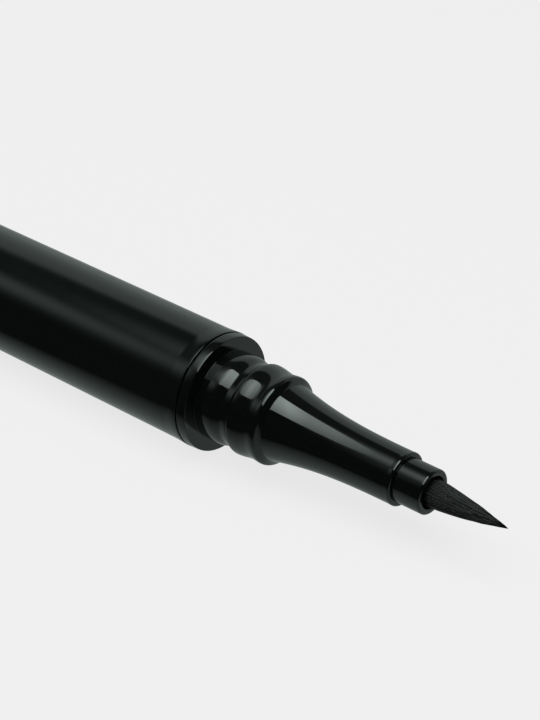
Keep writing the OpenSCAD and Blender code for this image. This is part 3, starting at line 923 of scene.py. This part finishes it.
    def build_holder(self) -> Piece:
        """Make the holder: a narrow tube with a rounded lip and a bore for the brush.

        Returns:
            The holder.
        """
        span, brush = Span.of("brush_holder"), Span.of("brush_tip")
        shoulder_x = Span.of("nozzle_cone").front + self.seat
        retainer_r = Span.of("brush_retainer").radius + self.seat
        mouth_x, mouth_r = span.front - self.mouth_length, span.radius - self.holder_wall
        root_r = brush.radius + self.brush_play
        inner_r = span.radius - self.holder_step - self.seat
        return turned("brush_holder_tube", [
            [span.rear, retainer_r, THIN], [span.rear, inner_r, SOFT],
            [shoulder_x, inner_r, SHARP], [shoulder_x, span.radius, SHARP],
            [span.front, span.radius, self.lip_round], [span.front, mouth_r, self.mouth_round],
            [mouth_x, mouth_r, STEP], [mouth_x, root_r, STEP],
            [brush.rear, root_r, STEP], [brush.rear, retainer_r, STEP],
        ], self.holder_facets)

    pieces: ClassVar[tuple] = (
        (build_cone, Slot.GLOSS_BLACK, "pen", "nozzle_cone"),
        (build_holder, Slot.GLOSS_BLACK, "pen", "brush_holder"),
    )


@dataclass(frozen=True)
class Brush(Assembly):
    """The pointed bundle of tapered fibres on its fused root."""

    fibre_count: int = 1500  # a real brush has a few thousand finer ones
    fibre_width: float = 0.12
    sides: int = 4
    rings: int = 9
    bulge_power: float = 1.5  # how full the bundle is: its width at share u is 1 - u^bulge_power
    tip_share: float = 0.985  # the share of that curve which the bundle uses
    angle_scatter: float = 0.03  # scatter of the fibres' places round the axis, in radians
    end_scale: float = 0.8  # how far the fibres' drawn ends are spread along the brush
    end_from: float = 0.25  # how far they are then moved toward its tip
    end_scatter: float = 0.01
    end_least: float = 0.1  # the shortest fibre's end
    taper_share: float = 0.4  # the last share of each fibre, over which it thins to a point
    taper_power: float = 0.5  # the power by which it thins
    stray: float = 0.035  # how far a fibre wanders from its place
    stray_rates: tuple = (2.0, 5.0)  # slowest and fastest sine by which it wanders
    stray_turns: float = 4.0  # how many radians of that sine it goes through
    twist: float = 0.12  # how far the bundle turns along its length, in radians
    stain_power: float = 1.5  # over 1, it leaves few fibres lightly stained
    foot_depth: float = 0.4  # how deep in the holder the fibres start,
    root_depth: float = 0.3  # how deep the fused root ends,
    core_depth: float = 0.25  # and how deep its core starts
    core_inset: float = 0.06  # how far the core lies inside the bundle at its start
    core_share: float = 0.86  # width of the core, as a share of the bundle's
    core_length_share: float = 0.9  # its length, as a share of the bundle's
    core_point: float = 0.1  # length of the core's point
    root_facets: int = 64
    seed: int = 7  # seed of the random draws

    def width(self, share: np.ndarray) -> np.ndarray:
        """The bundle's width at a share of its length, as a share of its width at the root."""
        return 1 - np.clip(share, 0, 1) ** self.bulge_power

    def build_fibres(self) -> Piece:
        """Make the fibres.

        Fibre i starts at radius R sqrt((i + 1/2) / n) and at i golden angles. At share u of the
        brush its place is scaled by the bundle's width and turned by twist u, and it wanders by a
        slow sine of its own. Its end is drawn where the bundle has narrowed to the square root of a
        random share, so that about as many fibres are left at each place as fit there, and is then
        scaled by end_scale and moved toward the tip by end_from.

        Returns:
            The fibres, in one mesh with an attribute named stain.
        """
        span, holder = Span.of("brush_tip"), Span.of("brush_holder")
        draw = np.random.default_rng(self.seed)
        n = self.fibre_count
        golden = math.pi * (3 - math.sqrt(5))
        index = np.arange(n)
        place_r = (span.radius - self.fibre_width / 2) * np.sqrt((index + 0.5) / n)
        place_a = index * golden + draw.normal(0, self.angle_scatter, n)
        end = (1 - np.sqrt(draw.random(n))) ** (1 / self.bulge_power) * self.end_scale
        end = np.clip(end + self.end_from + draw.normal(0, self.end_scatter, n), self.end_least, 1)
        foot_x = holder.front - self.foot_depth
        reach = span.front - foot_x
        s = np.linspace(0, 1, self.rings)
        u = end[:, None] * s[None]
        out = (span.front - holder.front) / reach
        open_share = np.clip((u - (1 - out)) / out, 0, 1)
        fibre_r = place_r[:, None] * self.width(open_share * self.tip_share)
        # One phase for each way that a fibre wanders and one for its sides; the fourth is spare
        phase = draw.random((4, n, 1)) * 2 * math.pi
        rate = draw.uniform(*self.stray_rates, (2, n, 1)) * self.stray_turns
        angle = place_a[:, None] + self.twist * u
        thick = self.fibre_width / 2 * np.clip((1 - s) / self.taper_share, 0, 1) ** self.taper_power
        column = np.arange(self.sides) * 2 * math.pi / self.sides + phase[2][:, :, None]
        y, z = (
            (fibre_r * way(angle) + self.stray * open_share * np.sin(rate[i] * u + phase[i]))
            [:, :, None] + thick[None, :, None] * way(column)
            for i, way in enumerate((np.cos, np.sin)))
        x = np.broadcast_to((foot_x + reach * u)[:, :, None], y.shape)
        rows = np.stack([x, y, z], axis=-1)
        foot = rows[:, :1].mean(axis=2, keepdims=True) * np.ones((1, 1, self.sides, 1))
        piece = surface("brush_fibres", np.concatenate([foot, rows], axis=1), Ends.POINTED)
        stain = draw.random(n) ** self.stain_power
        mark_points(piece, "stain", np.repeat(stain, len(piece.data.vertices) // n))
        return piece

    def build_root(self) -> Piece:
        """Make the fused root and the dark core that closes the bundle from inside.

        Returns:
            The root, a plug with a pointed core of the bundle's own shape.
        """
        span, holder = Span.of("brush_tip"), Span.of("brush_holder")
        t = np.linspace(0, self.core_length_share, CURVE_POINTS)
        core_x = holder.front - self.core_depth
        x = core_x + (span.front - core_x) * t
        return turned("brush_root", [
            [span.rear, 0, 0], [span.rear, span.radius, FLANGE],
            [holder.front - self.root_depth, span.radius, THIN],
            path(x, (span.radius - self.core_inset) * self.core_share * self.width(t)),
            [x[-1] + self.core_point, 0, 0],
        ], self.root_facets)

    pieces: ClassVar[tuple] = (
        (build_fibres, Slot.BRUSH_FIBRE, "pen", "brush_tip"),
        (build_root, Slot.FELT_ROD, "pen", "brush_tip"),
    )


@dataclass(frozen=True)
class Cap(Assembly):
    """The cap: its shell and crown, its liner, and the sprung cup that seals the nozzle."""

    shell_round: float = LEAD_IN
    dimple_rim: float = 1.2  # outer radius of the ring on the crown's face
    peg: float = 1.6  # radius of the peg in the crown, and of the boss on the cup
    boss_length: float = 1.0
    travel: float = 1.2  # how far the cup gives
    rib_height: float = 0.08
    rib_width: float = 0.9
    rib_foot_round: float = 0.3  # rounding of its feet
    rib_round: float = 0.5
    stop_width: float = 1.0  # width of the ring that stops the cup
    slide: float = 0.08  # clearance between pieces that slide in each other
    cup_wall: float = 0.6
    cup_floor: float = 0.8
    cup_round: float = 0.25
    cup_inner_round: float = 0.3  # rounding of the corner inside it
    cup_facets: int = 160
    flange: float = 1.0
    stop_lead: float = 4.66  # distance from the nozzle's ring to the stop, in the closed cap
    lip_lead: float = 1.2  # how far the cup stands out behind the stop
    lip_clear: float = 0.1  # clearance between the cup's lip and the nozzle
    wire: float = 0.45
    wire_sides: int = 14
    curl_radius: float = 2.45  # radius of the spring's curls, to the middle of the wire
    curls: float = 4.5  # how many curls it has
    curl_points: int = 40  # points along each
    bend: float = 0.5  # radius of the bends at its ends
    bend_points: int = 8  # points along each, with its ends

    @property
    def liner_bore(self) -> float:
        """Radius of the liner's bore, in which the cup's flange slides."""
        return Span.of("inner_cap").radius + self.slide

    @property
    def cup_radius(self) -> float:
        """Outer radius of the cup, whose lip fits the nozzle where they meet in the closed cap."""
        lip = Span.of("inner_cap").rear - self.shift
        return float(Nozzle().cone(lip)) + self.lip_clear + self.cup_wall

    @property
    def shift(self) -> float:
        """How far a place in the open cap lies in front of the same place in the closed one."""
        return Span.of("cap_shell").rear - Neck().collar_front - self.seat

    def build_shell(self) -> Piece:
        """Make the shell: a plain tube, rounded at its mouth.

        Returns:
            The shell.
        """
        span = Span.of("cap_shell")
        bore = span.radius - self.tube_wall
        return turned("cap_tube", [
            [span.rear, bore, self.shell_round], [span.rear, span.radius, self.shell_round],
            [span.front, span.radius, self.edge], [span.front, bore, self.edge / 2],
        ])

    def build_crown(self) -> Piece:
        """Make the crown: a disc with a round edge, a spigot, and a peg for the spring.

        Returns:
            The crown.
        """
        span = Span.of("cap_crown")
        disc_x, dimple_x = span.front - self.crown_disc, span.front - self.dimple_depth
        spigot = self.liner_bore - self.seat
        peg_x = Span.of("inner_cap_spring").rear + self.boss_length + self.travel
        return turned("cap_crown_plug", [
            [peg_x, 0, 0], [peg_x, self.peg, PEG_END],
            [disc_x, self.peg, LEAD_IN], [disc_x, spigot - self.crown_wall, LEAD_IN],
            [span.rear, spigot - self.crown_wall, SOFT], [span.rear, spigot, LEAD_IN],
            [disc_x, spigot, SEATED], [disc_x, span.radius, DISC],
            [span.front, span.radius, self.crown_round], [span.front, self.dimple_rim, THIN],
            [dimple_x, self.dimple_radius, THIN], [dimple_x, 0, 0],
        ])

    def build_liner(self) -> Piece:
        """Make the liner: a tube with the snap rib and the ring that stops the cup.

        Returns:
            The liner.
        """
        span = Span.of("cap_liner")
        rib_x = Nozzle().bead_rear + self.shift - self.rib_width
        stop_x = Nozzle().ring_front + self.shift + self.stop_lead
        bore, stop_r = self.liner_bore, self.cup_radius + self.slide
        LOG.info("liner: rib at %.2f, stop at %.2f", rib_x, stop_x)
        return turned("cap_liner_tube", [
            [span.rear, bore, LEAD_IN], [span.rear, span.radius, self.edge],
            [span.front, span.radius, self.edge / 2], [span.front, bore, self.edge / 2],
            [stop_x + self.stop_width, bore, FLANGE], [stop_x + self.stop_width, stop_r, FLANGE],
            [stop_x, stop_r, LEAD_IN], [stop_x, bore, LEAD_IN],
            [rib_x + self.rib_width, bore, self.rib_foot_round],
            [rib_x + self.rib_width / 2, bore - self.rib_height, self.rib_round],
            [rib_x, bore, self.rib_foot_round],
        ])

    def build_cup(self) -> Piece:
        """Make the sprung cup that seals on the nozzle.

        Returns:
            The cup.
        """
        span = Span.of("inner_cap")
        radius, bore = self.cup_radius, self.cup_radius - self.cup_wall
        end_x = span.front - self.boss_length
        flange_x = span.rear + self.lip_lead + self.stop_width + self.seat
        return turned("inner_cap_cup", [
            [span.rear, bore, LIP], [span.rear, radius, LIP],
            [flange_x, radius, SOFT], [flange_x, span.radius, FLANGE],
            [flange_x + self.flange, span.radius, FLANGE], [flange_x + self.flange, radius, SOFT],
            [end_x, radius, self.cup_round], [end_x, self.peg, SOFT],
            [span.front, self.peg, PEG_END], [span.front, 0, 0],
            [end_x - self.cup_floor, 0, 0], [end_x - self.cup_floor, bore, self.cup_inner_round],
        ], self.cup_facets)

    def build_spring(self) -> Piece:
        """Make the spring behind the cup.

        Its centre line is a helix of curl_radius. At each end the wire bends through a quarter
        turn of radius bend and runs straight along the cap, so that its end stands square.

        Returns:
            The spring.
        """
        span = Span.of("inner_cap_spring")
        way = 2 * math.pi * self.curl_radius * self.curls
        low, height = self.wire + self.bend, span.front - span.rear
        t = np.linspace(0, 1, int(self.curl_points * self.curls))
        a = np.linspace(0, math.pi / 2, self.bend_points)[1:-1]
        aside, onward = self.bend * (1 - np.cos(a)), self.bend * np.sin(a)
        flat = np.concatenate([
            [[0, 0], [0, self.wire]],
            np.stack([aside, self.wire + onward], axis=1),
            np.stack([self.bend + (way - 2 * self.bend) * t, low + (height - 2 * low) * t], axis=1),
            np.stack([way - self.bend + onward, height - low + aside], axis=1),
            [[way, height - self.wire], [way, height]],
        ])
        turn = flat[:, 0] / self.curl_radius
        line = np.stack([span.rear + flat[:, 1], self.curl_radius * np.cos(turn),
                         self.curl_radius * np.sin(turn)], axis=1)
        along = np.gradient(line, axis=0)
        along[[0, -1]] = (1, 0, 0)
        along = unit(along)
        side = unit(np.cross(along, line * (0, 1, 1)))
        column = (np.arange(self.wire_sides) * 2 * math.pi / self.wire_sides)[None, :, None]
        ring = np.cross(side, along)[:, None] * np.cos(column) + side[:, None] * np.sin(column)
        rows = line[:, None] + self.wire / 2 * ring
        first, last = (np.repeat(line[i][None, None], self.wire_sides, axis=1) for i in (0, -1))
        return surface("inner_cap_coil", np.concatenate([first, rows, last])[None], Ends.POINTED)

    pieces: ClassVar[tuple] = (
        (build_shell, Slot.SATIN_BLACK, "cap", "cap_shell"),
        (build_crown, Slot.SATIN_BLACK, "cap", "cap_crown"),
        (build_liner, Slot.DARK_LINER, "cap", "cap_liner"),
        (build_cup, Slot.WHITE_POLYETHYLENE, "sprung_cup", "inner_cap"),
        (build_spring, Slot.SPRING_STEEL, "cap", "inner_cap_spring"),
    )

    def dress(self, materials: dict) -> list:
        """Dress the cap, and give its spring a mesh of its own.

        Args:
            materials: the material of each slot.

        Returns:
            The new pieces.
        """
        pieces = super().dress(materials)
        spring, span = pieces[-1], Span.of("inner_cap_spring")
        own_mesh(spring)
        return pieces


# Studio and camera


@dataclass(frozen=True)
class Glow:
    """A round patch of light in the tent.

    With t as the angle from its centre, its brightness is radiance exp(-t^2 / spread^2), worked
    out from the cosine by t^2 = 2 (1 - cos t).
    """

    centre: tuple  # the direction in which it lies, seen from the nozzle
    radiance: float  # its brightness at the middle, where 1 is white
    spread: float  # angle, in degrees, at which it has faded to 1/e

    def add_to(self, nodes: Nodes, direction: Socket) -> Socket:
        """Add the glow.

        Args:
            nodes: the tent's nodes.
            direction: the unit vector in which the tent is seen.

        Returns:
            The brightness.
        """
        rate = 2 / math.radians(self.spread) ** 2
        cosine = nodes.vector("DOT_PRODUCT", direction, Vector(self.centre).normalized())
        fall = nodes.math("EXPONENT", nodes.math("MULTIPLY_ADD", cosine, rate, -rate))
        return nodes.math("MULTIPLY", fall, self.radiance)


@dataclass(frozen=True)
class Panel:
    """A lit panel in the tent, whose brightness changes along the pen.

    Places on it are the X and Y parts of the direction in which they lie, seen from the nozzle.
    Across the pen its brightness fades by exp(-(y - crest)^2 / spread^2). With u and v as the place
    from its centre in half sizes, its outline is u^4 + v^4 = 1, a little soft.
    """

    stops: tuple  # places along X, each with the brightness there; it is linear between them
    crest: float  # place across the pen where it is brightest
    spread: float  # distance across the pen at which it has faded to 1/e
    centre: tuple = ()  # middle of its outline, or none where the brightness alone bounds it
    half_size: tuple = ()  # half the outline's width and height
    outline: tuple = (1.07, 0.93)  # values of u^4 + v^4 between which the outline is soft

    def along(self, nodes: Nodes, x: Socket) -> Socket:
        """Add the brightness along X, as a ramp between the stops.

        Args:
            nodes: the tent's nodes.
            x: place along X.

        Returns:
            The brightness.
        """
        low, high = self.stops[0][0], self.stops[-1][0]
        most = max(value for _, value in self.stops)
        shares = [((place - low) / (high - low), (*(value / most,) * 3, 1))
                  for place, value in self.stops]
        return nodes.math("MULTIPLY", nodes.ramp(nodes.ranged(x, low, high), shares), most)

    def add_to(self, nodes: Nodes, direction: Socket) -> Socket:
        """Add the panel.

        Args:
            nodes: the tent's nodes.
            direction: the unit vector in which the tent is seen.

        Returns:
            The brightness.
        """
        off = nodes.math("MULTIPLY_ADD", nodes.axis(direction, "Y"), 1 / self.spread,
                         -self.crest / self.spread)
        fall = nodes.math("POWER", 1 / math.e, nodes.math("MULTIPLY", off, off))
        level = nodes.math("MULTIPLY", fall, self.along(nodes, nodes.axis(direction, "X")))
        if not self.half_size:
            return level
        scale = (*(1 / half for half in self.half_size), 0)
        start = (*(-middle / half for middle, half in zip(self.centre, self.half_size)), 0)
        uv = nodes.vector("MULTIPLY_ADD", direction, scale, start)
        squares = nodes.vector("MULTIPLY", uv, uv)
        cut = nodes.ranged(nodes.vector("DOT_PRODUCT", squares, squares), *self.outline)
        return nodes.math("MULTIPLY", level, cut)


@dataclass(frozen=True)
class Studio:
    """A pale floor in even light, with a softbox overhead and cards round the pen.

    The cards and the softbox's face are one tent that only reflections see: pale cards behind the
    pen, black ones on the camera's side, a dark ceiling, and the softbox, brighter at its far end,
    with a dim rim on the tail's side. Brightness 1 is white. The cards darken between two places,
    given as parts of the unit direction in which they lie, seen from the nozzle.
    """

    floor_size: float = 3.0  # in metres
    pale: str = "#efefef"  # the sRGB colour of the floor's own light and of the surround
    floor_colour: str = "#e4e4e4"  # the sRGB colour of the floor where it takes shadows
    lit_share: float = 0.9  # how much of the floor's look is its own light
    lamp_size: float = 0.547  # the softbox's diameter, in metres
    lamp_distance: float = 0.5  # its distance from the nozzle, in metres
    lamp_away: tuple = (0.0, -0.225, 0.974)  # the direction in which it hangs
    lamp_radiance: float = 4.3  # its mean brightness
    tint: str = "#effff8"  # the sRGB colour of the light that reflections show
    fill: float = 0.3  # strength of the surround as light on the object
    tent_radius: float = 3.0  # in metres
    tent_lift: float = 0.05  # how far the tent's ground card lies above the floor, in millimetres
    tent_facets: int = 64
    ground_rings: tuple = (0.0, 0.1, 0.5)  # the ground card's rows of points, as shares of it
    card: float = 0.46  # brightness of the pale cards
    ceiling: float = 0.045  # brightness of the dark ceiling
    shade: float = 0.012  # brightness of the black cards
    end_shade: float = 0.048  # brightness of the cards beyond the brush, as a share
    ceiling_span: tuple = (0.62, 0.72)  # upward, where the cards darken
    flag_span: tuple = (-0.3, -0.05)  # to the camera's side, where they are black and pale
    end_span: tuple = (0.64, 0.5)  # to the brush's side, where they are nearly black and pale
    ground: float = 0.37  # brightness of the ground card under the pen
    ground_from: float = -6.0  # place to the camera's side where the ground card starts to darken
    ground_span: tuple = (40.0, 130.0)  # two stations along the pen,
    ground_to: tuple = (-7.4, -23.6)  # and the places where the ground card is black there
    softbox: Panel = Panel(
        ((-0.49, 1.5), (-0.47, 1.56), (-0.45, 1.72), (-0.42, 2.08), (-0.39, 2.45), (-0.35, 2.65),
         (-0.31, 2.86), (-0.28, 3.12), (-0.245, 4.06), (-0.215, 4.8), (-0.19, 5.1), (-0.16, 4.6),
         (-0.13, 4.27), (0.6, 4.27)),
        crest=0.05, spread=0.75, centre=(0.0525, -0.195), half_size=(0.5275, 0.37))
    rim: Panel = Panel(
        ((-0.64, 0.0), (-0.62, 0.15), (-0.6, 0.25), (-0.575, 0.38), (-0.545, 0.87), (-0.49, 1.2),
         (-0.4, 1.2), (-0.2, 0.0)),
        crest=-0.17, spread=0.25)
    side_glow: Glow = Glow((-0.66, -0.46, 0.60), 0.6, 11.0)

    def build_floor(self) -> None:
        """Make the floor under the lowest point of the pen."""
        half, low = self.floor_size / 2, CAD_BOX[0].z
        mesh = bpy.data.meshes.new("floor")
        corners = ((-half, -half, low), (half, -half, low), (half, half, low), (-half, half, low))
        mesh.from_pydata(corners, [], [(0, 1, 2, 3)])
        floor = placed("floor", mesh)
        material = bpy.data.materials.new("pale_paper")
        nodes = Nodes(material)
        lit = nodes.add("Emission", {"Color": linear(self.pale), "Strength": 1.0})
        shade = nodes.add("BsdfDiffuse", {"Color": linear(self.floor_colour)})
        nodes.add("OutputMaterial", {
            "Surface": nodes.add("MixShader", {0: self.lit_share, 1: shade, 2: lit})})
        mesh.materials.append(material)

    def light_surround(self) -> None:
        """Light the world evenly pale, and dimmer as fill light on surfaces."""
        world = bpy.data.worlds.new("studio_surround")
        bpy.context.scene.world = world
        nodes = Nodes(world)
        fill = nodes.ranged(nodes.add("LightPath", {}, "Is Diffuse Ray"), 0.0, 1.0, 1.0, self.fill)
        pale = nodes.add("Background", {"Color": linear(self.pale), "Strength": fill})
        nodes.add("OutputWorld", {"Surface": pale})

    def hang_softbox(self) -> None:
        """Hang the round softbox over the nozzle, facing it. Its face is drawn by the tent.

        Its power is its radiance times pi times its area.
        """
        lamp = bpy.data.lights.new("softbox", "AREA")
        lamp.shape = "DISK"
        lamp.size = self.lamp_size
        area = math.pi * (self.lamp_size / 2) ** 2
        lamp.energy = self.lamp_radiance * math.pi * area
        aim = Vector((Span.of("nozzle_cone").rear * MM, 0, 0))
        away = Vector(self.lamp_away).normalized()
        holder = placed("softbox", lamp)
        turn = away.to_track_quat("Z", "Y").to_matrix().to_4x4()
        holder.matrix_world = Matrix.Translation(aim + away * self.lamp_distance) @ turn
        holder.visible_glossy = False

    def build_tent(self) -> None:
        """Make the tent: a dome over a flat ground card, seen by glossy and transmitted rays only.

        A point at height angle e of the dome goes to radius cos e and height sin e.
        """
        size, middle = self.tent_radius / MM, Span.of("nozzle_cone").rear
        height = np.linspace(0, math.pi / 2, CURVE_POINTS)
        radius = size * np.concatenate([self.ground_rings, np.cos(height)])[:, None]
        rise = size * np.concatenate([np.zeros(len(self.ground_rings)), np.sin(height)])[:, None]
        turn = np.linspace(0, 2 * math.pi, self.tent_facets, endpoint=False)
        rows = np.stack([middle + radius * np.cos(turn), radius * np.sin(turn),
                         CAD_BOX[0].z / MM + self.tent_lift + rise + 0 * turn], axis=-1)
        tent = surface("reflection_tent", rows[None], Ends.POINTED)
        tent.visible_camera = tent.visible_diffuse = tent.visible_shadow = False
        tent.data.materials.append(self.tent_material(Vector((middle * MM, 0, 0))))

    def tent_material(self, middle: Vector) -> bpy.types.Material:
        """Make the tent's light, by the direction in which it is seen from the nozzle.

        Args:
            middle: the place of the nozzle, in metres.

        Returns:
            The material.
        """
        material = bpy.data.materials.new("tent_light")
        nodes = Nodes(material)
        place = nodes.add("TexCoord", {}, "Object")
        direction = nodes.vector("NORMALIZE", nodes.vector("SUBTRACT", place, middle))
        dome = nodes.ranged(nodes.axis(direction, "Z"), *self.ceiling_span, self.card, self.ceiling,
                            smooth=True)
        for axis, span, dark in (("Y", self.flag_span, self.shade),
                                 ("X", self.end_span, self.end_shade)):
            dome = nodes.math("MULTIPLY", dome, nodes.ranged(
                nodes.axis(direction, axis), *span, dark, 1.0, smooth=True))
        for light in (self.softbox, self.rim, self.side_glow):
            dome = nodes.math("MAXIMUM", dome, light.add_to(nodes, direction))
        black = nodes.ranged(nodes.axis(place, "X"),
                             *(v * MM for v in (*self.ground_span, *self.ground_to)))
        ground = nodes.ranged(nodes.axis(place, "Y"), black, self.ground_from * MM, self.shade,
                              self.ground)
        is_dome = nodes.math("GREATER_THAN", nodes.axis(place, "Z"),
                             CAD_BOX[0].z + 2 * self.tent_lift * MM)
        level = nodes.add("Mix", {0: is_dome, 2: ground, 3: dome}, data_type="FLOAT")
        light = nodes.add("Emission", {"Color": linear(self.tint), "Strength": level})
        nodes.add("OutputMaterial", {"Surface": light})
        return material

    def build(self) -> None:
        """Make the whole studio."""
        for make in (self.build_floor, self.light_surround, self.hang_softbox, self.build_tent):
            make()


@dataclass(frozen=True)
class PhotoCamera:
    """The camera at the photograph's viewing angle."""

    azimuth: float = 40.6  # its direction round the pen, in degrees; 0 looks along +Y
    elevation: float = 32.3  # in degrees
    depth: float = 206.09  # distance from the camera to the barrel's mouth, along the view
    focal_pixels: float = 2211.0  # focal length, in pixels of the photograph
    mouth_pixel: tuple = (216.6, 389.76)  # where the centre of the barrel's mouth is seen
    width: float = 540.0  # the photograph's width and height, in pixels
    height: float = 720.0
    sensor: float = 36.0  # the sensor's long side
    clip: tuple = (0.01, 20.0)  # nearest and farthest seen, in metres

    def build(self) -> None:
        """Make the camera and set it as the scene's."""
        a, e = math.radians(self.azimuth), math.radians(self.elevation)
        right = Vector((math.cos(a), math.sin(a), 0))
        back = Vector((math.sin(a) * math.cos(e), -math.cos(a) * math.cos(e), math.sin(e)))
        up = back.cross(right)
        across = (self.mouth_pixel[0] - self.width / 2) / self.focal_pixels * self.depth
        rise = (self.height / 2 - self.mouth_pixel[1]) / self.focal_pixels * self.depth
        mouth = Vector((Span.of("barrel_sleeve").front, 0, 0))
        place = mouth - right * across - up * rise + back * self.depth
        data = bpy.data.cameras.new("photo_camera")
        data.sensor_width = self.sensor
        data.lens = self.focal_pixels * self.sensor / self.height
        data.clip_start, data.clip_end = self.clip
        camera = placed("photo_camera", data)
        axes = Matrix((right, up, back)).transposed().to_4x4()
        camera.matrix_world = Matrix.Translation(place * MM) @ axes
        bpy.context.scene.camera = camera


def main() -> None:
    logging.basicConfig(level=logging.INFO, format="%(message)s")
    bpy.context.scene.view_settings.view_transform = "Standard"
    PhotoCamera().build()
    materials = {slot: finish.material() for slot, finish in FINISHES.items()}
    for assembly in (Barrel(), Neck(), Nozzle(), Brush(), Cap()):
        assembly.dress(materials)
        LOG.info("%s is dressed", type(assembly).__name__)
    Studio().build()
    bpy.context.view_layer.update()


if __name__ == "__main__":
    main()
